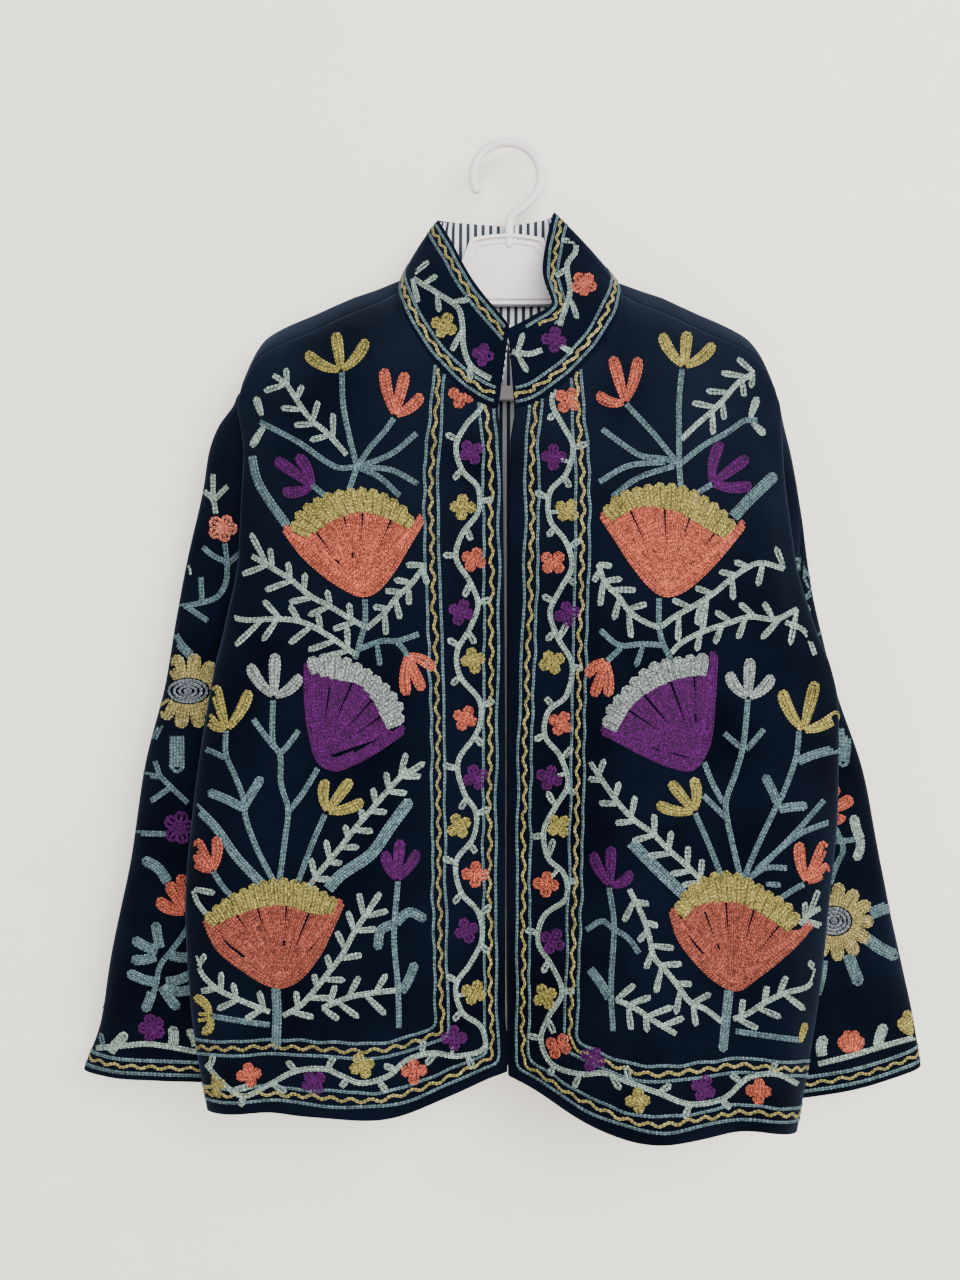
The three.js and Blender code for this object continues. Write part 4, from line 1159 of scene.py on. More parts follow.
# places across a row, heights and shades of its five lines, where a link is drawn together and open; the
# shades are painted light: a highlight on the raised sides, shade at the middle, partly the velvet seen
# through the loop, and at the outer lines
PINCHED = ([-0.42, -0.24, 0.0, 0.24, 0.42], [-0.1, 0.55, 0.5, 0.55, -0.1], [0.22, 0.6, 0.42, 0.6, 0.22])
OPENED = ([-0.56, -0.34, 0.0, 0.34, 0.56], [-0.1, 1.0, 0.35, 1.0, -0.1], [0.5, 1.6, 0.14, 1.6, 0.5])
ROW_FOOT = -0.25  # height of a row's outer lines, just inside the cloth
END_TAPER = 0.72
ROW_TINT = 0.06
LINK_TINT = 0.16
LEAF_LIFT = 0.05
PETAL_LIFT = 0.15
FILLED = 4.5  # leaves and petals wider than this have a row up their middle
STEM_GAP = 1.3
VINE_GAP = 1.25
WAVE = 15.0
# each row round a fan's foot: how far in, points left off at its ends, how far it runs on
FAN_ROWS = ((1.3, 0, 1.0), (4.1, 0, 4.0), (6.9, 0, 4.5), (9.6, 4, 0.0), (12.2, 16, 0.0))
FAN_SPOKE = 2.75
FAN_SLITS = 6

THREADS = {
    "coral": (154, 74, 56),
    "coral_light": (172, 98, 80),
    # coral darkened as painted shade, for the fans at the foot of the fronts, where less light falls
    "coral_deep": (128, 63, 50),
    "olive": (128, 119, 61),
    "purple": (63, 1, 71),
    "silver": (120, 128, 126),
    "sage": (124, 142, 134),
    "teal": (76, 98, 104),
    "gold": (134, 124, 76),
    "grey": (104, 112, 118),
}
THREAD_NAMES = list(THREADS)


class Design:
    """Rows of chain stitch drawn on one chart; scale is the millimetres in one unit of the chart."""

    def __init__(self, chart, scale, seed, link=LINK):
        self.chart = chart
        self.scale = scale
        self.link = link
        self.rng = np.random.default_rng(seed)
        self.rows = []
        self.flip = 1

    def row(self, path, colour, width=1.0, lift=0.0, closed=False):
        step = self.link * self.rng.uniform(*UNEVEN_LINK) / 2
        points = smooth_path(path, step / self.scale, closed)
        if self.flip < 0:
            points = points * (-1, 1) + (2 * MIDDLE[0], 0)
        if len(points) > 2:
            self.rows.append((points, width * ROW, THREAD_NAMES.index(colour), lift))


def left_of(way):
    return np.array((-way[1], way[0]))


def heading(angle):
    return np.array((math.cos(angle), math.sin(angle)))


def beside(path, distance):
    """A line parallel to another one, or at a distance of its own at every point."""
    way = unit(np.gradient(path, axis=0))
    return path + np.stack([-way[:, 1], way[:, 0]], -1) * distance


def pair(d, path, colour="teal", gap=PAIR):
    """Two rows side by side, as in every stem."""
    middle = smooth_path(path, 4.0)
    for side in (-1, 1):
        d.row(beside(middle, side * gap), colour)


def thick(d, path, colour, wide=2.8):
    """A broad leaf or stem: a row all round, and one to three inside it."""
    middle = smooth_path(path, 4.0)
    ahead = unit(middle[-1] - middle[-2])
    left, right = beside(middle, wide), beside(middle, -wide)
    d.row(np.concatenate([left, middle[-1:] + ahead * wide * 0.8, right[::-1]]), colour, 1.2)
    inner = (0.0,) if wide < 3.3 else (-0.33, 0.33) if wide < 5.2 else (-0.5, 0.0, 0.5)
    for part in inner:
        d.row(beside(middle, wide * part), colour, 1.3, 0.1)


def sprig(d, root, tip):
    """A short broad leaf that arches a little."""
    thick(d, [root, np.add(root, tip) / 2 + (0, 1.5), tip], "teal", 3.4)


def loop_line(base, tip, wide, bend=0.0):
    """From the base up one side of a leaf or petal, round its tip and back."""
    base, tip = np.asarray(base, float), np.asarray(tip, float)
    way = tip - base
    side = left_of(way) / max(np.linalg.norm(way), 1e-6)
    shape = [(0.0, 0.16), (0.3, 0.38), (0.62, 0.5), (0.87, 0.5), (0.98, 0.32), (1.0, 0.0)]
    shape += [(t, -s) for t, s in shape[-2::-1]]
    return np.array([base + way * t + side * (wide * s + bend * 4 * t * (1 - t)) for t, s in shape])


def leaf(d, base, tip, colour, wide=3.6):
    """One loop of stitches, filled when it is wide."""
    d.row(loop_line(base, tip, wide), colour, 1.0, LEAF_LIFT)
    if wide >= FILLED:
        base, tip = np.asarray(base, float), np.asarray(tip, float)
        d.row([mix(base, tip, 0.1), mix(base, tip, 0.92)], colour, 1.3, LEAF_LIFT)


def wander(d, path, reach):
    """The same line, a little unsteady, as stitched by hand."""
    line = smooth_path(path, 3.0)
    along = lengths_along(line)
    waves = [np.sin(2 * np.pi * along / d.rng.uniform(24, 90) + d.rng.uniform(0, 6.3)) for _ in range(4)]
    away = sum(waves) / 2.2
    return beside(line, (reach * away)[:, None])


def petal(d, base, tip, colour, wide, bend=0.0):
    """A filled petal: a loop with a broad row inside it."""
    way = tip - base
    d.row(loop_line(base, tip, wide, bend), colour, 1.25, PETAL_LIFT)
    if wide > FILLED:
        side = left_of(way) / np.linalg.norm(way)
        middle = [base + way * 0.1, base + way * 0.5 + side * bend, base + way * 0.93]
        d.row(middle, colour, 1.9, PETAL_LIFT)


def tulip(d, base, tips, colour, wide=7.0):
    """Petals from one base to each of the tips; the outer ones curve outwards."""
    base = np.asarray(base, float)
    tips = [np.asarray(t, float) for t in tips]
    middle = sum(tips) / len(tips) - base
    for tip in tips:
        way = tip - base
        turn = np.sign(middle[0] * way[1] - middle[1] * way[0])
        apart = abs(middle[0] * way[1] - middle[1] * way[0])
        apart = apart / max(np.linalg.norm(middle) * np.linalg.norm(way), 1)
        petal(d, base + way * 0.04, tip, colour, wide, turn * 4.0 * apart)
    d.row([base + (-2.5, -0.5), base + (0, 1.5), base + (2.5, -0.5)], colour, 1.0, 0.3)


def clover(d, centre, radius, colour, lobes=5, turn=None):
    """A small round flower with a few lobes."""
    centre = np.asarray(centre, float)
    turn = d.rng.uniform(0, 6.3) if turn is None else turn
    for k in range(lobes):
        a = turn + 2 * math.pi * k / lobes + d.rng.uniform(-0.12, 0.12)
        way = heading(a)
        size = radius * d.rng.uniform(0.92, 1.06)
        middle = centre + way * size * 0.55
        ring = [middle + 0.3 * size * heading(b) for b in np.linspace(a, a + 6.28, 9)[:-1]]
        d.row(ring, colour, 1.15, 0.25, closed=True)
        d.row([centre - way * 2, middle + way * size * 0.22], colour, 1.3, 0.3)


def fern(d, spine, tips):
    """A stem with loop leaflets that lean towards its end."""
    line = smooth_path(spine, 1.0)
    tips = [np.asarray(t, float) for t in tips]
    gaps = [np.linalg.norm(line - t, axis=1) for t in tips]
    nearest = [int(g.argmin()) for g in gaps]
    way = unit(np.gradient(line, axis=0))
    leans = [float((t - line[k]) @ way[k]) for t, k in zip(tips, nearest)]
    ends = sum(lean for lean, k in zip(leans, nearest) if k in (0, len(line) - 1))
    forward = 1 if sum(leans) - 0.5 * ends >= 0 else -1
    pair(d, spine, "sage", STEM_GAP)
    for tip, gap, k in zip(tips, gaps, nearest):
        start = int(np.clip(k - forward * round(gap.min() * 0.8), 0, len(line) - 1))
        leaf(d, line[start], tip, "sage", 3.4)


def resample(points, n):
    line = smooth_path(points, 0.8)
    along = np.linspace(0, len(line) - 1, n)
    return np.stack([np.interp(along, np.arange(len(line)), line[:, k]) for k in (0, 1)], -1)


def fan(d, outline, arc, rim, body, band, scallops):
    """A big spread flower. outline runs from one corner round the foot to the other corner, arc is
    where the body meets the band, rim is the band's outer edge."""
    edge = resample(outline, 61)
    foot = edge[30]
    middle = resample(arc, 31)[15]
    up = unit(middle - foot)
    turn = np.sign(np.cross(edge[31] - edge[29], up))
    for inset, ends, past in FAN_ROWS:
        line = beside(edge, turn * inset)[ends : 61 - ends]
        first = line[:1] + unit(line[:1] - line[2:3]) * past
        last = line[-1:] + unit(line[-1:] - line[-3:-2]) * past
        d.row(np.concatenate([first, line[1:-1], last]), body, 1.12, 0.25)
    top = np.concatenate([edge[:1], np.asarray(arc, float), edge[-1:]])
    fan_spokes(d, foot + up * 6, top, body)
    fan_scallops(d, resample(arc, 2 * scallops + 1), resample(rim, 2 * scallops + 1), band)


def fan_spokes(d, centre, top, colour):
    """Rows from a fan's centre to its top, of three lengths in turn, a few of them with a slit."""
    length = np.linalg.norm(np.diff(resample(top, 60), axis=0), axis=1).sum()
    count = int(length / FAN_SPOKE)
    ends = resample(top, count + 1)
    slits = np.linspace(3, count - 3, FAN_SLITS).round().astype(int) + d.rng.integers(-1, 2, FAN_SLITS)
    for k in range(2, count - 1):
        start = 0.5 if k % 2 else 0.24 if k % 4 else 0.04
        way = ends[k] - centre
        bend = left_of(way) * 0.006 * math.sin(k * 1.7)
        first = centre + way * (start + d.rng.uniform(-0.03, 0.03))
        last = centre + way * (1 - 1.0 / max(np.linalg.norm(way), 1))
        if k in slits:
            a, b = sorted((d.rng.uniform(0.42, 0.55), d.rng.uniform(0.86, 0.96)))
            d.row([first, centre + way * max(a, start + 0.1)], colour, 1.08, 0.15)
            d.row([centre + way * b, last], colour, 1.08, 0.15)
            continue
        d.row([first, (first + last) / 2 + bend, last], colour, 1.1, 0.15 + 0.08 * (k % 3))


def fan_scallops(d, inner, outer, colour):
    """The band along a fan's top: scallops with a broad row up the middle of each."""
    scallops = len(inner) // 2
    wide = np.linalg.norm(np.diff(outer, axis=0), axis=1).sum() / scallops
    for k in range(scallops):
        low, high = inner[2 * k + 1], outer[2 * k + 1]
        back = low - (high - low) * 0.12
        d.row(u_line(back, high, wide - 3.0), colour, 1.3, 0.6)
        d.row([back, low + (high - low) * 0.92], colour, 2.3, 0.55)


def u_line(base, tip, wide):
    """Up one side of a scallop, round its top and down the other."""
    way = tip - base
    side = left_of(way) / max(np.linalg.norm(way), 1e-6) * wide / 2
    shape = [(0.0, 0.82), (0.4, 0.95), (0.72, 1.0), (0.92, 0.72), (1.0, 0.0)]
    shape += [(t, -s) for t, s in shape[-2::-1]]
    return np.array([base + way * t + side * s for t, s in shape])


def daisy(d, centre, size, heart, petals, turn=0.2):
    """A round flower: petals as loops round a heart wound in rings."""
    centre, size, heart = (np.asarray(v, float) for v in (centre, size, heart))
    for k in range(petals):
        way = heading(turn + 2 * math.pi * k / petals)
        low, high = centre + way * (heart + 1.0), centre + way * size * d.rng.uniform(0.96, 1.03)
        wide = 2 * math.pi * float(np.mean((heart + size) / 2)) / petals
        d.row(u_line(low, high, wide - 3.2), "gold", 1.3, 0.25)
        for across in (-0.12, 0.12):
            side = left_of(way) * wide * across
            d.row([low + side, low + (high - low) * 0.92 + side], "gold", 1.4, 0.2)
    turns = max(2, int(heart.min() / 2.9))
    for k in range(turns):
        reach = heart * (k + 0.6) / turns
        ring = [centre + reach * heading(b) for b in np.linspace(0, 2 * math.pi, 13)[:-1]]
        d.row(ring, "grey", 1.05, 0.3, closed=True)


def wavy(d, path, height):
    """A golden line that waves from side to side."""
    line = smooth_path(path, 1.5)
    along = lengths_along(line)
    phase = d.rng.uniform(0, 6.3) + 2 * np.pi * along / WAVE + 0.5 * np.sin(along / 31)
    d.row(beside(line, (height * np.sin(phase))[:, None]), "gold", 1.05)


def vine(d, path, flowers, radius=14.0, twigs=True):
    """A winding stem with small flowers and two short twigs beside each."""
    line = smooth_path(path, 1.0)
    pair(d, path, "sage", VINE_GAP)
    for place, kind in flowers:
        place = np.asarray(place, float)
        k = int(np.linalg.norm(line - place, axis=1).argmin())
        root = line[k]
        if np.linalg.norm(root - place) > radius * 0.8:
            d.row([root, place + unit(root - place) * radius * 0.6], "sage", 1.4)
        if twigs:
            away = unit(root - place)
            for shift, share in ((-15, 1), (16, 0.8)):
                j = int(np.clip(k + shift, 0, len(line) - 1))
                ahead = unit(line[min(j + 2, len(line) - 1)] - line[max(j - 2, 0)])
                tip = line[j] + away * 14 * share + ahead * 8 * np.sign(shift)
                leaf(d, line[j], tip, "sage", 3.8)
        clover(d, place, radius, kind, 4)


def drawn_rows(designs, panel):
    """Place and outward direction on a panel of every point of the designs' rows, whether it lies on
    the panel, and each row's number of points, width, colour and lift."""
    grid, normals = panel
    places, rows = [], []
    for design in designs:
        r, c, hit = place_on(design.chart, np.concatenate([row[0] for row in design.rows]))
        places.append((on_grid(grid, r, c), on_grid(normals, r, c), hit))
        rows += [(len(points), width, tint, lift) for points, width, tint, lift in design.rows]
    p, n, hit = (np.concatenate(part) for part in zip(*places))
    return p, unit(n), hit, rows


def stitch(name, panel, designs, materials):
    """One mesh of all the rows drawn for a piece."""
    p, n, hit, rows = drawn_rows(designs, panel)
    many = np.array([row[0] for row in rows])
    group = np.repeat(np.arange(len(rows)), many)
    nth = np.arange(len(p)) - np.repeat(np.cumsum(many) - many, many)
    width, lift = (np.array([row[k] for row in rows], float)[group] for k in (1, 3))
    colour = np.array([row[2] for row in rows])[group]
    gaps = np.diff(p, axis=0)
    joined = (group[1:] == group[:-1]) & hit[1:] & hit[:-1]
    joined &= np.linalg.norm(gaps, axis=1) < JUMP
    run = np.concatenate([[0], np.cumsum(~joined)])
    joined &= np.bincount(run)[run[1:]] > SHORTEST_RUN
    ahead = np.zeros(p.shape)
    ahead[:-1][joined] += gaps[joined]
    ahead[1:][joined] += gaps[joined]
    side = unit(np.cross(n, unit(ahead)))
    opened = (nth % 2 == 1)[:, None]
    at_end = (nth == 0) | (nth == many[group] - 1)
    taper = np.where(at_end, END_TAPER, 1.0)
    offsets = np.where(opened, OPENED[0], PINCHED[0]) * (width * taper)[:, None]
    heights = np.where(opened, OPENED[1], PINCHED[1]) * (RISE * taper)[:, None] + lift[:, None]
    heights[:, [0, 4]] = ROW_FOOT
    rng = np.random.default_rng(len(p))
    row_tint = rng.normal(1, ROW_TINT, len(rows))[group]
    link_tint = rng.normal(1, LINK_TINT, len(p) + 2)[np.arange(len(p)) // 2]
    # painted highlight and shade of the links, times each row's and link's own random tint
    shade = np.where(opened, OPENED[2], PINCHED[2]) * (row_tint * link_tint)[:, None]
    points = p[:, None] + side[:, None] * offsets[..., None] + n[:, None] * heights[..., None]
    first = np.nonzero(joined)[0]
    a = first[:, None] * 5 + np.arange(4)
    faces = np.stack([a, a + 5, a + 6, a + 1], -1).reshape(-1, 4)
    slots = np.repeat(colour[first], 4)
    used, index = np.unique(faces, return_inverse=True)
    values = {"stitch": shade.ravel()[used]}
    return make_mesh(name, points.reshape(-1, 3)[used], index.reshape(-1, 4), materials, slots, values)


# ---- the embroidery's drawing ----------------------------------------------------------
# Flowers are drawn on the front chart, or on the back chart behind, and borders on charts that count
# millimetres from an edge. A drawing is a list of motifs, each with the places, colours and sizes that
# it is told.

FRONT_UNIT = 0.75
SLEEVE_UNIT = 0.79
COLLAR_UNIT = 0.77
LEFT_HUB = (357, 467)
RIGHT_HUB = (679, 465)

LEFT_FIELD = [
    # tulips, fern and stems that meet at the hub, over the chest
    (tulip, (341, 371), [(307, 354), (336, 334), (366, 341)], "olive", 8),
    (pair, [(342, 372), (343, 403), (349, 435), LEFT_HUB]),
    (tulip, (395, 416), [(384, 370), (405, 374), (421, 396)], "coral", 8),
    (pair, [(394, 418), (384, 432), (370, 448), LEFT_HUB]),
    (fern, [(347, 455), (326, 432), (311, 420), (298, 402), (286, 384), (273, 375)], [(333, 414),
     (318, 402), (302, 386), (286, 369), (311, 440), (295, 425), (282, 408), (265, 391)]),
    (pair, [LEFT_HUB, (336, 467), (298, 442), (260, 422)]),
    (leaf, (262, 416), (256, 398), "sage", 5),
    (leaf, (265, 425), (252, 446), "sage", 5),
    (pair, [LEFT_HUB, (391, 454), (417, 433)]),
    (pair, [LEFT_HUB, (391, 470), (418, 484)]),
    (pair, [LEFT_HUB, (379, 477), (400, 496)]),
    (pair, [LEFT_HUB, (349, 490)]),
    (tulip, (313, 486), [(276, 460), (298, 456), (284, 492)], "purple", 8),
    (pair, [(311, 484), (326, 497), (336, 508)]),
    (thick, [(252, 456), (257, 479), (270, 502), (286, 524)], "teal"),
    # the coral fan, with the ferns and the tulip on its stem
    (fan, [(283, 532), (301, 556), (327, 579), (348, 592), (362, 597), (377, 592), (393, 574), (410, 546),
     (424, 522)], [(306, 535), (331, 519), (348, 512), (362, 510), (382, 514), (398, 522), (408, 528)],
     [(290, 530), (298, 512), (318, 498), (340, 491), (367, 489), (387, 496), (406, 509), (413, 522)],
     "coral", "olive", 13),
    (pair, [(365, 599), (365, 622), (361, 638), (355, 659)]),
    (fern, [(365, 627), (349, 618), (331, 607), (309, 595), (290, 579), (272, 568), (252, 556)],
     [(251, 534), (243, 574), (270, 549), (266, 590), (288, 563), (290, 602), (305, 574), (309, 615),
     (327, 591), (334, 629), (349, 604)]),
    (fern, [(356, 655), (329, 636), (302, 622), (277, 619), (245, 620), (229, 616)], [(236, 645),
     (224, 630), (264, 601), (263, 640), (290, 606), (290, 643), (318, 615), (309, 650), (347, 628),
     (325, 657)]),
    (fern, [(366, 629), (384, 613), (397, 597), (411, 584), (425, 565)], [(386, 634), (374, 607),
     (400, 618), (386, 591), (409, 604), (395, 580), (427, 584), (407, 565)]),
    (pair, [(359, 649), (382, 641), (397, 641), (419, 634)]),
    (leaf, (377, 645), (380, 665), "teal", 3),
    (pair, [(397, 642), (404, 650), (408, 658)]),
    (tulip, (407, 655), [(406, 694), (422, 689), (433, 668)], "coral", 7.5),
    # tulips and stems beside the purple fan
    (tulip, (274, 697), [(250, 666), (275, 655), (300, 677)], "silver", 8),
    (pair, [(273, 700), (273, 743), (280, 755), (281, 784), (288, 809), (285, 839), (279, 885)]),
    (pair, [(253, 719), (264, 734), (275, 748)]),
    (pair, [(299, 730), (289, 744), (280, 754)]),
    (tulip, (227, 730), [(216, 687), (249, 692), (209, 717)], "olive", 8),
    (pair, [(226, 730), (226, 754), (235, 776), (243, 797), (246, 819), (258, 851), (273, 880)]),
    (pair, [(202, 748), (213, 752), (225, 758)]),
    (thick, [(243, 808), (228, 800), (211, 793)], "teal"),
    (thick, [(243, 808), (250, 796), (260, 780)], "teal"),
    # the purple fan, with what grows under it
    (fan, [(304, 664), (304, 696), (308, 733), (317, 762), (334, 771), (354, 765), (378, 752),
     (404, 734)], [(312, 671), (336, 677), (361, 684), (377, 703), (389, 728)], [(306, 660), (324, 655),
     (342, 657), (363, 667), (380, 679), (393, 692), (402, 706), (402, 723)], "purple", "silver", 11),
    (pair, [(318, 768), (303, 793), (289, 811)]),
    (tulip, (327, 812), [(325, 781), (350, 781), (362, 802)], "olive", 7.5),
    (pair, [(325, 814), (311, 847), (298, 882)]),
    (fern, [(307, 889), (318, 874), (339, 849), (357, 826), (372, 809), (389, 789), (408, 769)],
     [(311, 859), (326, 841), (345, 826), (361, 810), (373, 789), (386, 773), (406, 754), (424, 763),
     (330, 879), (341, 863), (358, 847), (372, 831), (386, 812), (406, 793), (420, 776)]),
    (thick, [(328, 889), (341, 875), (371, 854), (391, 826), (408, 803)], "teal", 4),
    (thick, [(195, 806), (217, 829), (236, 856), (262, 884)], "teal"),
    (tulip, (213, 871), [(197, 841), (217, 838), (194, 858)], "coral", 8),
    (pair, [(213, 871), (221, 884), (231, 896)]),
    (tulip, (397, 880), [(385, 853), (400, 841), (417, 852)], "purple", 7.5),
    # the coral fan at the foot, its coral darkened as painted shade, with its ferns
    (fan, [(203, 922), (216, 949), (244, 972), (268, 986), (283, 988), (300, 980), (320, 956), (333, 930),
     (344, 905)], [(212, 925), (239, 912), (264, 904), (288, 903), (314, 911), (333, 912)], [(204, 918),
     (220, 903), (242, 890), (264, 881), (286, 879), (314, 887), (338, 901)], "coral_deep", "olive", 14),
    (thick, [(276, 988), (277, 1016), (276, 1046)], "teal", 3),
    (pair, [(270, 1025), (241, 1021), (212, 1016)]),
    (tulip, (211, 1016), [(196, 997), (197, 1017), (203, 1033)], "olive", 6),
    (fern, [(270, 1012), (252, 1005), (233, 997), (216, 988), (203, 975), (196, 958), (191, 941)],
     [(259, 992), (246, 1019), (233, 984), (218, 1009), (221, 973), (202, 991), (205, 955)]),
    (fern, [(206, 914), (196, 899), (191, 877)], [(214, 893), (192, 900)]),
    (fern, [(283, 1016), (300, 1006), (313, 992), (325, 977), (342, 955), (355, 931), (372, 906)],
     [(313, 1017), (296, 992), (331, 998), (314, 975), (344, 980), (327, 956), (361, 955), (337, 932),
     (376, 929), (348, 912), (387, 911), (359, 894), (380, 893)]),
    (fern, [(322, 1008), (350, 997), (372, 993), (398, 990)], [(386, 975), (385, 1014), (359, 977),
     (358, 1017), (335, 986), (338, 1019)]),
    (pair, [(398, 881), (394, 936), (398, 988), (399, 1028)]),
    (thick, [(396, 923), (381, 930), (378, 946)], "teal", 3),
    (thick, [(396, 923), (409, 912), (423, 918)], "teal", 3),
    (thick, [(401, 992), (408, 981), (414, 966)], "teal", 3),
]

LEFT_VINE = [
    (vine, [(444, 352), (452, 372), (474, 386), (482, 405), (466, 425), (456, 446), (462, 470),
     (478, 488), (478, 512), (462, 534), (456, 558), (470, 582), (478, 604), (470, 628), (457, 652),
     (460, 676), (480, 702), (478, 730), (458, 762), (464, 793), (476, 813), (473, 838), (456, 862),
     (461, 892), (478, 912), (482, 938), (470, 964), (456, 985), (462, 1012), (481, 1027), (484, 1048),
     (458, 1056), (432, 1053), (407, 1060), (388, 1076), (361, 1083), (342, 1076), (325, 1069),
     (296, 1071), (270, 1084), (244, 1096), (226, 1086), (206, 1064)], [((461, 395), "coral"),
     ((471, 452), "purple"), ((462, 507), "olive"), ((474, 560), "coral"), ((461, 612), "purple"),
     ((473, 660), "olive"), ((465, 718), "coral"), ((476, 778), "purple"), ((459, 826), "olive"),
     ((475, 874), "coral"), ((466, 930), "purple"), ((474, 993), "olive"), ((454, 1038), "purple"),
     ((414, 1071), "coral"), ((362, 1066), "olive"), ((313, 1082), "purple"), ((249, 1075), "coral"),
     ((214, 1086), "olive")]),
]

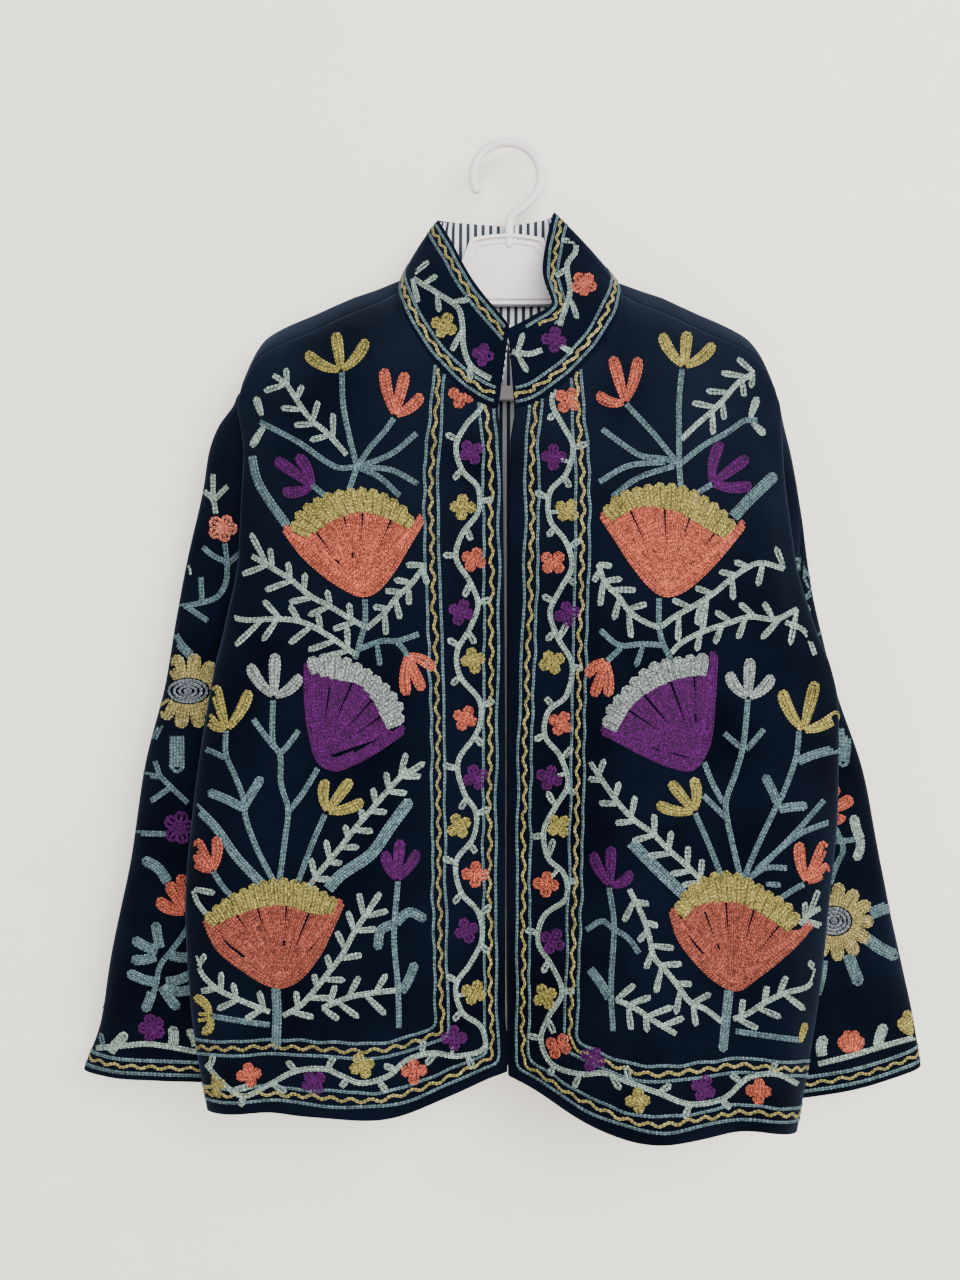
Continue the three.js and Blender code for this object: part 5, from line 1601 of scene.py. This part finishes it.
RIGHT_FIELD = [
    # tulips, fern and stems that meet at the hub, over the chest
    (tulip, (684, 367), [(662, 335), (687, 333), (713, 345)], "olive", 8),
    (pair, [(682, 369), (679, 402), (679, 438), RIGHT_HUB]),
    (tulip, (625, 403), [(613, 358), (638, 359), (598, 395)], "coral", 8),
    (pair, [(626, 404), (652, 432), RIGHT_HUB]),
    (fern, [(681, 440), (695, 426), (709, 414), (724, 399), (738, 383), (754, 373)], [(693, 403),
     (713, 434), (707, 391), (724, 419), (722, 373), (744, 396), (738, 359), (751, 387)]),
    (pair, [RIGHT_HUB, (703, 446), (728, 432), (744, 421), (757, 420)]),
    (leaf, (750, 418), (757, 398), "sage", 5),
    (leaf, (752, 423), (764, 434), "sage", 5),
    (pair, [(602, 429), (625, 446), (642, 456), (665, 459), RIGHT_HUB]),
    (pair, [(599, 482), (628, 466), (665, 462)]),
    (pair, [(612, 497), (638, 478), (674, 466)]),
    (pair, [RIGHT_HUB, (681, 489)]),
    (tulip, (711, 484), [(720, 443), (747, 458), (750, 486)], "purple", 8),
    (pair, [(712, 484), (697, 494), (692, 502)]),
    (thick, [(733, 517), (752, 497), (773, 477)], "teal", 4),
    # the coral fan, with its ferns and the tulip beside its stem
    (fan, [(600, 518), (617, 544), (633, 568), (652, 590), (666, 597), (684, 592), (706, 574), (727, 551),
     (745, 528)], [(612, 520), (633, 507), (657, 505), (681, 511), (703, 524), (725, 537)], [(602, 512),
     (616, 496), (642, 487), (666, 484), (690, 489), (711, 501), (726, 513), (736, 526)], "coral",
     "olive", 13),
    (pair, [(659, 598), (659, 625), (662, 641), (671, 660)]),
    (fern, [(660, 628), (645, 622), (630, 612), (618, 596), (606, 584), (598, 564)], [(594, 581),
     (611, 566), (600, 605), (621, 579), (614, 619), (635, 590), (631, 637), (646, 604)]),
    (fern, [(661, 627), (674, 617), (692, 607), (714, 593), (736, 575), (759, 563), (784, 569)],
     [(673, 600), (697, 624), (678, 640), (696, 588), (702, 630), (720, 572), (733, 599), (735, 562),
     (758, 585), (776, 548)]),
    (fern, [(671, 653), (681, 643), (702, 632), (726, 624), (749, 617), (776, 619), (797, 609)],
     [(697, 650), (715, 643), (738, 638), (740, 604), (762, 638), (764, 603), (790, 644), (716, 612)]),
    (pair, [(785, 622), (804, 631), (815, 655)], "sage", 1.3),
    (pair, [(662, 645), (642, 644), (619, 645), (600, 630)]),
    (leaf, (643, 646), (636, 666), "teal", 3),
    (pair, [(621, 648), (607, 661)]),
    (tulip, (606, 660), [(587, 675), (594, 695), (608, 695)], "coral", 7),
    # the purple fan, with tulips, fern and stems under and beside it
    (fan, [(602, 735), (622, 745), (645, 757), (671, 768), (691, 771), (702, 762), (711, 742), (715, 706),
     (718, 656)], [(615, 731), (628, 708), (645, 692), (668, 680), (687, 675), (706, 673)], [(603, 726),
     (608, 708), (622, 691), (636, 676), (654, 663), (673, 659), (691, 656), (709, 654)], "purple",
     "silver", 11),
    (pair, [(704, 762), (712, 782), (723, 803)]),
    (tulip, (748, 698), [(729, 674), (750, 660), (772, 677)], "silver", 8),
    (pair, [(748, 699), (743, 746), (736, 772), (726, 801), (727, 818), (732, 842), (741, 880)]),
    (pair, [(724, 733), (740, 747)]),
    (pair, [(764, 729), (755, 740), (746, 750)]),
    (pair, [(703, 795), (714, 806), (725, 817)]),
    (tulip, (803, 731), [(782, 692), (815, 683), (838, 714)], "olive", 8.5),
    (pair, [(799, 731), (796, 757), (785, 789), (776, 807), (757, 847), (744, 878)]),
    (thick, [(798, 761), (816, 754), (836, 749)], "teal"),
    (thick, [(777, 802), (772, 790), (766, 778)], "teal"),
    (thick, [(779, 809), (791, 807), (804, 806)], "teal"),
    (tulip, (694, 812), [(658, 805), (671, 783), (694, 779)], "olive", 7.5),
    (pair, [(695, 813), (709, 845), (722, 878)]),
    (fern, [(703, 882), (687, 866), (669, 850), (652, 833), (633, 819), (619, 804), (606, 786),
     (590, 762)], [(604, 760), (589, 779), (619, 783), (600, 803), (635, 797), (616, 823), (654, 815),
     (633, 841), (671, 832), (648, 856), (688, 847), (671, 874), (702, 860), (683, 885)]),
    (thick, [(631, 842), (654, 866), (682, 893)], "teal", 4),
    (pair, [(824, 800), (795, 833), (750, 878)]),
    (pair, [(829, 822), (798, 835), (757, 869)]),
    (pair, [(787, 868), (766, 868), (750, 877)]),
    (tulip, (806, 882), [(799, 844), (824, 843), (827, 866)], "coral", 8),
    (pair, [(804, 884), (793, 890), (781, 898)]),
    (leaf, (766, 884), (780, 885), "teal", 3),
    # the coral fan at the foot, its coral darkened as painted shade, with its ferns
    (fan, [(669, 913), (676, 936), (689, 956), (714, 981), (737, 991), (758, 978), (787, 955), (800, 942),
     (812, 928)], [(684, 917), (697, 903), (733, 899), (757, 908), (788, 929)], [(674, 909), (687, 889),
     (706, 876), (729, 872), (751, 880), (769, 892), (788, 903), (801, 920)], "coral_deep", "olive", 13),
    (thick, [(729, 990), (726, 1018), (723, 1048)], "teal", 3),
    (pair, [(735, 1031), (768, 1036), (800, 1040)]),
    (leaf, (800, 1042), (805, 1024), "olive", 5),
    (tulip, (610, 886), [(593, 854), (611, 848), (631, 873)], "purple", 7.5),
    (pair, [(609, 887), (614, 924), (611, 988), (613, 1031)]),
    (pair, [(586, 930), (602, 921), (612, 928), (628, 938), (639, 953)]),
    (thick, [(590, 969), (599, 981), (609, 997)], "teal", 3),
    (fern, [(722, 1022), (705, 1009), (690, 1002), (678, 986), (666, 971), (654, 957), (649, 936),
     (642, 915), (629, 889)], [(696, 1025), (710, 994), (676, 1013), (691, 984), (656, 992), (681, 964),
     (646, 968), (673, 948), (639, 941), (657, 926), (624, 921), (648, 904)]),
    (fern, [(616, 1000), (633, 1007), (654, 1021), (676, 1034)], [(634, 985), (631, 1029), (650, 997),
     (647, 1031), (672, 1007), (683, 1018)]),
    (fern, [(733, 1019), (747, 1014), (764, 1003), (785, 993), (809, 985), (817, 962), (819, 945)],
     [(757, 1028), (743, 1000), (780, 1017), (767, 987), (804, 1009), (786, 977), (809, 962),
     (828, 970)]),
    (fern, [(800, 925), (809, 915), (820, 908)], [(805, 903), (818, 891), (822, 926)]),
    # the vine along the edge and the hem
    (vine, [(580, 346), (578, 368), (560, 380), (552, 402), (562, 424), (573, 446), (566, 474),
     (550, 492), (550, 520), (566, 542), (572, 566), (560, 590), (550, 612), (558, 638), (572, 664),
     (566, 696), (548, 712), (545, 736), (560, 756), (568, 784), (556, 806), (544, 830), (548, 858),
     (564, 874), (566, 898), (544, 916), (538, 942), (552, 966), (562, 992), (548, 1018), (541, 1040),
     (552, 1064), (580, 1074), (604, 1073), (628, 1082), (656, 1092), (690, 1104), (724, 1098),
     (748, 1078), (776, 1074), (798, 1084)], [((568, 400), "coral"), ((553, 457), "purple"), ((567, 510),
     "olive"), ((553, 563), "coral"), ((567, 614), "purple"), ((552, 662), "olive"), ((561, 723),
     "coral"), ((549, 778), "purple"), ((559, 826), "olive"), ((546, 884), "coral"), ((553, 941),
     "purple"), ((545, 997), "olive"), ((559, 1046), "coral"), ((593, 1059), "purple"), ((638, 1101),
     "olive"), ((703, 1088), "purple"), ((759, 1091), "coral")]),
]

SLEEVE_L_FLOWERS = [
    (pair, [(216, 514), (213, 500), (204, 491)], "sage"),
    (pair, [(213, 500), (213, 474)], "sage"),
    (pair, [(214, 500), (228, 486)], "sage"),
    (clover, (223, 528), 16, "coral_light", 5),
    (pair, [(225, 543), (227, 562), (226, 582), (217, 597), (200, 603), (178, 607)]),
    (pair, [(226, 562), (212, 555), (203, 547)]),
    (pair, [(228, 564), (240, 553)]),
    (pair, [(202, 602), (201, 577)]),
    (pair, [(186, 606), (196, 613), (208, 621)]),
    (leaf, (190, 575), (186, 564), "sage", 4),
    (thick, [(173, 632), (180, 644), (190, 655)], "teal", 3),
    (daisy, (188, 691), (36, 37), (21, 12), 12),
    (thick, [(177, 736), (177, 752), (177, 767)], "teal", 6),
    (thick, [(160, 724), (156, 732), (153, 738)], "teal", 3),
    (pair, [(188, 803), (172, 788), (160, 776)]),
    (pair, [(160, 776), (155, 761)]),
    (pair, [(161, 777), (142, 774)]),
    (pair, [(171, 787), (151, 801)]),
    (clover, (179, 828), 18, "purple", 5),
    (pair, [(134, 833), (166, 834)]),
    (thick, [(168, 882), (158, 868), (146, 861)], "teal", 3.6),
    (tulip, (186, 913), [(158, 901), (169, 884), (181, 876)], "coral", 9),
    (pair, [(192, 921), (181, 938), (172, 950), (160, 966), (156, 985), (151, 1000)]),
    (sprig, (158, 950), (136, 941)),
    (sprig, (160, 948), (156, 926)),
    (sprig, (156, 956), (135, 960)),
    (sprig, (156, 982), (131, 974)),
    (sprig, (152, 992), (146, 1008)),
    (sprig, (162, 986), (176, 1006)),
    (sprig, (166, 982), (190, 975)),
    (sprig, (166, 990), (190, 990)),
    (sprig, (170, 955), (192, 957)),
    (clover, (152, 1028), 15, "purple", 5, 0.6),
    (thick, [(110, 1052), (116, 1044), (124, 1036)], "sage", 3.4),
    (thick, [(172, 1048), (174, 1038), (173, 1030)], "sage", 3.6),
    (thick, [(196, 1046), (194, 1038), (190, 1032)], "sage", 2.6),
    (pair, [(96, 1048), (120, 1046), (150, 1044), (198, 1052)], "sage"),
    (leaf, (127, 912), (122, 916), "sage", 5),
    (leaf, (104, 1050), (101, 1034), "teal", 3),
]

SLEEVE_R_FLOWERS = [
    (thick, [(812, 586), (806, 574), (797, 562)], "teal", 3.8),
    (pair, [(798, 601), (808, 596), (813, 588)]),
    (leaf, (807, 622), (807, 606), "sage", 4),
    (pair, [(806, 622), (818, 634), (822, 620)]),
    (pair, [(810, 634), (822, 652), (832, 668)], "sage"),
    (thick, [(844, 728), (845, 746), (843, 762)], "teal", 4.6),
    (leaf, (842, 722), (840, 704), "olive", 4),
    (tulip, (832, 810), [(836, 788), (851, 799), (843, 820)], "coral", 9),
    (pair, [(830, 818), (843, 848), (836, 866), (830, 884)]),
    (pair, [(822, 842), (842, 841), (858, 839)]),
    (thick, [(860, 839), (856, 828), (854, 819)], "sage", 3.4),
    (thick, [(860, 839), (860, 849), (857, 857)], "sage", 3),
    (daisy, (834, 921), (38, 38), (17, 14), 13, 0.5),
    (thick, [(870, 914), (880, 910), (890, 906)], "teal", 4.4),
    (thick, [(866, 938), (880, 948), (894, 955)], "teal", 4.4),
    (thick, [(848, 954), (853, 968), (858, 981)], "teal", 4.4),
    (thick, [(822, 960), (820, 976), (816, 992)], "teal", 4.4),
    (tulip, (851, 1052), [(841, 1038), (847, 1032), (855, 1032), (861, 1038)], "coral", 6),
    (thick, [(822, 1056), (821, 1046), (823, 1040)], "sage", 3.8),
    (thick, [(878, 1046), (880, 1036), (883, 1028)], "sage", 3.8),
    (tulip, (913, 1034), [(900, 1020), (906, 1012), (914, 1012)], "olive", 7),
    (pair, [(818, 1064), (850, 1056), (890, 1044), (920, 1036)], "sage"),
    (pair, [(868, 884), (874, 882)]),
]

COLLAR_L_FLOWERS = [
    (clover, (444, 326), 14, "olive", 4, 0.4),
    (clover, (483, 355), 12, "purple", 4, 0.2),
    (pair, [(408, 275), (422, 284), (437, 293), (458, 308), (462, 322), (464, 349), (472, 367),
     (491, 379)], "sage"),
    (leaf, (412, 276), (428, 262), "sage", 3),
    (leaf, (412, 278), (418, 302), "sage", 3),
    (leaf, (437, 293), (439, 311), "sage", 3),
    (leaf, (462, 330), (452, 350), "sage", 3),
    (leaf, (424, 284), (436, 276), "sage", 3),
    (leaf, (470, 362), (470, 380), "sage", 3),
    (leaf, (452, 302), (468, 300), "sage", 3),
]

COLLAR_R_FLOWERS = [
    (clover, (584, 284), 14, "coral", 5, 0.3),
    (clover, (554, 340), 14, "purple", 4, 0.1),
    (pair, [(572, 233), (576, 250), (567, 265), (570, 292), (563, 314), (560, 326)], "sage"),
    (pair, [(516, 352), (529, 354), (542, 350)], "sage"),
    (leaf, (576, 250), (594, 254), "sage", 3),
    (leaf, (574, 242), (562, 240), "sage", 3),
    (leaf, (571, 300), (577, 318), "sage", 3),
    (leaf, (568, 268), (556, 276), "sage", 3),
    (leaf, (517, 353), (523, 334), "sage", 3),
    (leaf, (517, 354), (527, 371), "sage", 3),
    (leaf, (506, 350), (518, 353), "sage", 3),
    (leaf, (560, 346), (572, 352), "sage", 3),
]

# for each piece: millimetres in one unit of its chart, seed, motifs
DRAWINGS = {
    "front_l": (FRONT_UNIT, 11, LEFT_FIELD + LEFT_VINE),
    "front_r": (FRONT_UNIT, 12, RIGHT_FIELD),
    "sleeve_l": (SLEEVE_UNIT, 13, SLEEVE_L_FLOWERS),
    "sleeve_r": (SLEEVE_UNIT, 14, SLEEVE_R_FLOWERS),
    "collar_l": (COLLAR_UNIT, 15, COLLAR_L_FLOWERS),
    "collar_r": (COLLAR_UNIT, 16, COLLAR_R_FLOWERS),
}
# borders, in millimetres: between their lines, and from the edge that each chart counts from
BORDER_STEP = 5.2
EDGE_BORDERS = ((7.0, 9.0), (49.0, 44.0))  # outer and inner one, from the front edge and from the hem
HEM_BORDERS = (9.0, 44.0)
CUFF_LINES = (5.0, 10.5, 16.0)
COLLAR_FOOT_LINES = (4.5, 9.5, 14.5)
COLLAR_TOP_LINES = (4.0, 8.8, 13.6)
HEM_VINE = 31
HEM_VINE_STEP = 14  # along the hem, from one point of the vine to the next
BACK_FAN_FOOT = [(-50, -68), (-38, -42), (-18, -12), (0, 0), (18, -12), (38, -42), (50, -68)]
BACK_FAN_ARC = [(-38, -70), (-18, -84), (0, -88), (18, -84), (38, -70)]
BACK_FAN_RIM = [(-46, -76), (-26, -102), (0, -110), (26, -102), (46, -76)]
# foot of each fan on the back, its colours and its size; each stem's foot and head; pairs of tulips
BACK_FANS = (
    (1010, "coral", "olive", 1.0),
    (730, "purple", "silver", 0.9),
    (450, "coral", "olive", 0.95),
)
BACK_STEMS = ((1050, 1010), (900, 732), (620, 452))
BACK_TULIPS = ((1052, "purple"), (885, "olive"), (612, "silver"))


def draw(d, motifs):
    for motif, *told in motifs:
        motif(d, *told)


def drawn(chart, name):
    unit_size, seed, motifs = DRAWINGS[name]
    d = Design(chart, unit_size, seed)
    draw(d, motifs)
    return d


def border_line(d, path, nth, unsteady):
    """One of a border's three lines. The middle one waves."""
    if nth == 1:
        wavy(d, wander(d, path, 0.4), 1.3)
    else:
        d.row(wander(d, path, unsteady), "teal", 1.05)


def edge_borders(chart, shift, steps, seed):
    """Borders that follow the centre front edge and the hem, drawn in millimetres from both. Over the
    upper half the outer one lies shift farther from the edge, and its lines steps apart."""
    d = Design(chart, 1.0, seed)
    high = float(chart[..., 1].max())
    wide = float(chart[0, -1, 0]) - 1
    for (inset, foot), outer in zip(EDGE_BORDERS, (True, False)):
        for k in range(3):
            a, b = inset + k * BORDER_STEP, foot + k * BORDER_STEP
            top = a + shift + k * (steps - BORDER_STEP) if outer else a
            path = [(top, high), (top, mix(b, high, 0.62)), (a, mix(b, high, 0.33)), (a, b + 14), (a, b + 5)]
            path += [(a + 1.5, b + 1.5), (a + 5, b), (a + 14, b)]
            path += [(mix(a, wide, 0.33), b), (mix(a, wide, 0.66), b), (wide, b)]
            border_line(d, path, k, 0.6)
    return d


def cuff_borders(chart, seed):
    """Three lines right round the cuff, in millimetres along it and up from its edge."""
    d = Design(chart, 1.0, seed)
    length = float(chart[-1, -1, 0])
    for nth, up in enumerate(CUFF_LINES):
        path = [(length * k / 40, up) for k in range(41)]
        if nth == 1:
            wavy(d, path, 1.2)
        else:
            d.row(path, "teal", 1.3)
    return d


def collar_borders(from_foot, from_top, seed):
    """Three lines along the collar's foot and three along its top, in millimetres."""
    designs = []
    for chart, row, places in ((from_foot, 0, COLLAR_FOOT_LINES), (from_top, -1, COLLAR_TOP_LINES)):
        d = Design(chart, 1.0, seed)
        length = float(chart[row, -1, 0])
        for nth, up in enumerate(places):
            path = [(mix(3.0, length - 3.0, k / 60), up) for k in range(61)]
            border_line(d, path, nth, 0.5)
        designs.append(d)
    return designs


def back_design(chart):
    """The left front's flowers, both ways round, and a tall stem of fans and tulips up the middle."""
    d = Design(chart, BACK_UNIT, 17, BACK_LINK)
    centre = MIDDLE[0]
    for flip in (1, -1):
        d.flip = flip
        draw(d, LEFT_FIELD)
    d.flip = 1
    for foot, body, band, size in BACK_FANS:
        outline, arc, rim = (
            [(centre + x * size, foot + y * size) for x, y in line]
            for line in (BACK_FAN_FOOT, BACK_FAN_ARC, BACK_FAN_RIM)
        )
        fan(d, outline, arc, rim, body, band, 12)
    for foot, head in BACK_STEMS:
        pair(d, [(centre, foot), (centre - 2, mix(foot, head, 0.5)), (centre, head)])
    for foot, colour in BACK_TULIPS:
        for way in (-1, 1):
            pair(d, [(centre, foot), (centre + way * 24, foot - 20), (centre + way * 34, foot - 56)])
            tips = [(centre + way * x, foot - y) for x, y in ((18, 92), (38, 100), (58, 84))]
            tulip(d, (centre + way * 35, foot - 58), tips, colour, 7)
    return d


def hem_border(chart, seed):
    """Two borders and a vine of small flowers along the back's hem, in millimetres."""
    d = Design(chart, 1.0, seed, BACK_LINK)
    wide = float(chart[0, -1, 0])
    for foot in HEM_BORDERS:
        for nth in range(3):
            path = [(mix(1.0, wide - 1.0, k / 60), foot + BORDER_STEP * nth) for k in range(61)]
            if nth == 1:
                wavy(d, path, 1.2)
            else:
                d.row(wander(d, path, 0.5), "teal", 1.05)
    count = int((wide - 30) / HEM_VINE_STEP) + 1
    path = [(16 + k * HEM_VINE_STEP, HEM_VINE + 5.5 * math.sin(k * 1.35)) for k in range(count)]
    kinds = ["coral", "olive", "purple"]
    flowers = [
        ((x, HEM_VINE - (y - HEM_VINE) * 0.5), kinds[n % 3]) for n, (x, y) in enumerate(path[1::3])
    ]
    vine(d, path, flowers, 10.0, twigs=False)
    return d


# ---- the jacket ----------------------------------------------------------------------

COLLAR_STRIPES = 500  # where the stripes start, in millimetres to the left of the middle
BACK_STRIPES = 630
# rows and columns of the back's grid that its lining leaves bare
LINING_FOOT = 6
LINING_TOP = 4
LINING_LEFT = 10
LINING_RIGHT = 11

velvet = velvet_material("velvet", VELVET_PAINTED_SHEEN)
# the collar's painted sheen goes only as far as VELVET_HIGH, the light end of the brushed velvet
collar_velvet = velvet_material("collar_velvet", VELVET_HIGH)
cotton = lining_material()
plastic = plain_material("plastic", PLASTIC, roughness=0.38)


def make_panels():
    panels = {}
    for name, side, seed in (("front_l", -1, 3), ("front_r", 1, 4)):
        grid = front_grid(side)
        held = held_at_edges(grid, last=0.05, left=0.07, right=0.1)
        panels[name] = Panel(name, grid, side < 0, held=held, seed=seed)
    grid, keep, ridge_row = back_grid()
    held = held_at_edges(grid, last=0.2, left=0.1, right=0.1)
    panels["back"] = Panel("back", grid, True, keep=keep, held=held, seed=5)
    panels["back"].ridge_row = ridge_row
    for name, side, rings, seed in (("sleeve_l", -1, SLEEVE_L, 6), ("sleeve_r", 1, SLEEVE_R, 7)):
        grid = sleeve_grid(side, rings)
        held = held_at_edges(grid, first=0.12)
        panels[name] = Panel(name, grid, side < 0, closed=True, held=held, seed=seed, grow=CLOTH)
    panels["collar"] = Panel("collar", collar_grid(COLLAR_RISE), True)
    return panels


def striped_lining(name, panel, cells, start):
    """The lining under a panel, its stripes counted from the panel's middle column."""
    across = arc_lengths(panel.points, 1)
    values = {"across": across - across[:, [across.shape[1] // 2]] + start}
    return shell(name, panel.points, panel.normals, cells, LINING, [cotton], values, CLOTH + LAYER_GAP)


def declare(obj, parts):
    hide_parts(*parts)
    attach(obj, "root")


panels = make_panels()
cloth = {}
for name, panel in panels.items():
    cloth[name] = panel.shell(CLOTH, [collar_velvet if name == "collar" else velvet])
for name in ("front_l", "front_r"):
    declare(cloth[name], [name])
BACK_NODES = ["back", "back_side_l", "back_side_r", "back_shoulder_l", "back_shoulder_r"]
declare(
    cloth["back"], BACK_NODES
)
for name in ("sleeve_l", "sleeve_r"):
    declare(cloth[name], [name])
declare(cloth["collar"], ["collar"])

collar_inside = Panel("collar_lining", collar_grid(COLLAR_LINING_RISE), True)
collar_lining = striped_lining("lining_collar", collar_inside, collar_inside.cells, COLLAR_STRIPES)
declare(
    collar_lining, ["collar_lining"]
)

back = panels["back"]
rows, columns = back.points.shape[:2]
lined = np.zeros((rows - 1, columns - 1), bool)
lined[LINING_FOOT : back.ridge_row - LINING_TOP, LINING_LEFT : columns - LINING_RIGHT] = True
lining_cells = grid_cells(rows, columns, True, keep=lined)
back_lining = striped_lining("lining_back", back, lining_cells, BACK_STRIPES)
declare(back_lining, ["back_lining"])

hanger = build_hanger(plastic)
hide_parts("hanger")
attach(hanger, "root")


# ---- embroidery on the pieces ----------------------------------------------------------

thread_materials = [thread_material("thread_" + name, linear(*colour)) for name, colour in THREADS.items()]
SEEN_COLUMNS = 49  # of a front, from its edge to where it turns away
CUFF_ROWS = 30
COLLAR_COLUMNS = 52  # of each of the collar's ends, where its flowers are
HEM_ROWS = 40
BACK_INSET = 9  # columns left bare where the back's sides fold in behind the fronts
EDGE_SEED = 21
CUFF_SEED = 31
COLLAR_SEED = 41
HEM_SEED = 51


def embroider(name, grid, normals, designs):
    obj = stitch("stitch_" + name, (grid, normals), designs, thread_materials)
    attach(obj, "root")
    return obj


for name, shift, steps in (("front_l", -4.0, 5.8), ("front_r", 3.6, 5.0)):
    grid = panels[name].points[:, :SEEN_COLUMNS]
    normals = panels[name].normals[:, :SEEN_COLUMNS]
    borders = edge_borders(edge_chart(grid), shift, steps, EDGE_SEED)
    embroider(name, grid, normals, [drawn(front_chart(grid), name), borders])

for name, other in (("sleeve_l", "sleeve_r"), ("sleeve_r", "sleeve_l")):
    panel = panels[name]
    half = panel.points.shape[1] // 2
    around = list(range(half, 2 * half)) + [0]
    front = panel.points[1:, : half + 1], panel.normals[1:, : half + 1]
    rear = panel.points[1:, around], panel.normals[1:, around]
    embroider(name + "_front", *front, [drawn(front_chart(front[0]), name)])
    embroider(name + "_back", *rear, [drawn(back_chart(rear[0]), other)])
    ring = [*range(2 * half), 0]
    grid, normals = panel.points[::-1][:CUFF_ROWS, ring], panel.normals[::-1][:CUFF_ROWS, ring]
    embroider(name + "_cuff", grid, normals, [cuff_borders(edge_chart(grid), CUFF_SEED)])

collar = panels["collar"]
for name, part in (("collar_l", slice(0, COLLAR_COLUMNS)), ("collar_r", slice(-COLLAR_COLUMNS, None))):
    grid, normals = collar.points[:, part], collar.normals[:, part]
    embroider(name, grid, normals, [drawn(front_chart(grid), name)])
from_foot = edge_chart(collar.points)
from_top = edge_chart(collar.points[::-1])[::-1]
from_top = np.stack([from_foot[..., 0], from_top[..., 1]], -1)
borders = collar_borders(from_foot, from_top, COLLAR_SEED)
embroider("collar_borders", collar.points, collar.normals, borders)

part = slice(BACK_INSET, columns - BACK_INSET)
grid, normals = back.points[: back.ridge_row, part], back.normals[: back.ridge_row, part]
embroider("back", grid, normals, [back_design(back_chart(grid))])
grid, normals = back.points[:HEM_ROWS], back.normals[:HEM_ROWS]
embroider("back_hem", grid, normals, [hem_border(edge_chart(grid), HEM_SEED)])

# ---- stage ---------------------------------------------------------------------------


def flat_square(name, corners, material):
    mesh = bpy.data.meshes.new(name)
    mesh.from_pydata(corners, [], [(0, 1, 2, 3)])
    mesh.materials.append(material)
    return add_object(name, mesh)


def one_sided(material):
    """Seen from behind, the wall isn't there, so the jacket's back can be looked at too."""
    tree = material.node_tree
    shader = tree.nodes["Principled BSDF"]
    out = tree.nodes["Material Output"]
    facing = node(tree, "ShaderNodeNewGeometry")
    clear = node(tree, "ShaderNodeBsdfTransparent")
    choice = node(tree, "ShaderNodeMixShader")
    tree.links.new(facing.outputs["Backfacing"], choice.inputs["Fac"])
    tree.links.new(shader.outputs["BSDF"], choice.inputs[1])
    tree.links.new(clear.outputs["BSDF"], choice.inputs[2])
    tree.links.new(choice.outputs["Shader"], out.inputs["Surface"])


WALL_Y = 0.027
WALL_TOP = 3
FLOOR_Z = -1.32
ROOM = 4
WALL = linear(236, 232, 222)

plaster = plain_material("plaster", WALL, roughness=0.9, specular=0.2)
paint = plain_material("paint", WALL, roughness=0.9, specular=0.2)
one_sided(plaster)
SQUARE = ((-1, -1), (1, -1), (1, 1), (-1, 1))
wall_corners = [(x * ROOM, WALL_Y, FLOOR_Z if up < 0 else WALL_TOP) for x, up in SQUARE]
floor_corners = [(x * ROOM, y * ROOM, FLOOR_Z) for x, y in SQUARE]
wall = flat_square("wall", wall_corners, plaster)
ground = flat_square("floor", floor_corners, paint)


def area_light(name, place, towards, size, power, colour):
    data = bpy.data.lights.new(name, "AREA")
    data.shape = "RECTANGLE"
    data.size, data.size_y = size
    data.energy = power
    data.color = colour
    obj = add_object(name, data)
    obj.location = place
    obj.rotation_euler = (Vector(towards) - Vector(place)).to_track_quat("-Z", "Y").to_euler()
    return obj


window_light = area_light(
    "window_light", place=(1.5, -2.4, 0.8), towards=(0, 0, -0.4), size=(2.0, 1.8), power=150,
    colour=(1.0, 0.965, 0.92),
)
front_light = area_light(
    "front_light", place=(-0.1, -2.0, -0.1), towards=(0, 0, -0.45), size=(0.9, 0.9), power=30,
    colour=(1.0, 0.985, 0.96),
)

ROOM_LIGHT = (0.93, 0.95, 1.0, 1)
world = bpy.data.worlds.new("room")
world.use_nodes = True
set_inputs(world.node_tree.nodes["Background"], {"Color": ROOM_LIGHT, "Strength": 1.1})
bpy.context.scene.world = world

# ---- camera --------------------------------------------------------------------------

lens = bpy.data.cameras.new("camera")
lens.sensor_width = 36
lens.lens = 27.44
lens.clip_start = 0.02
lens.clip_end = 30
camera = add_object("camera", lens)
camera.location = [c * MM for c in CAMERA]
camera.rotation_euler = (math.pi / 2, 0, 0)
bpy.context.scene.camera = camera
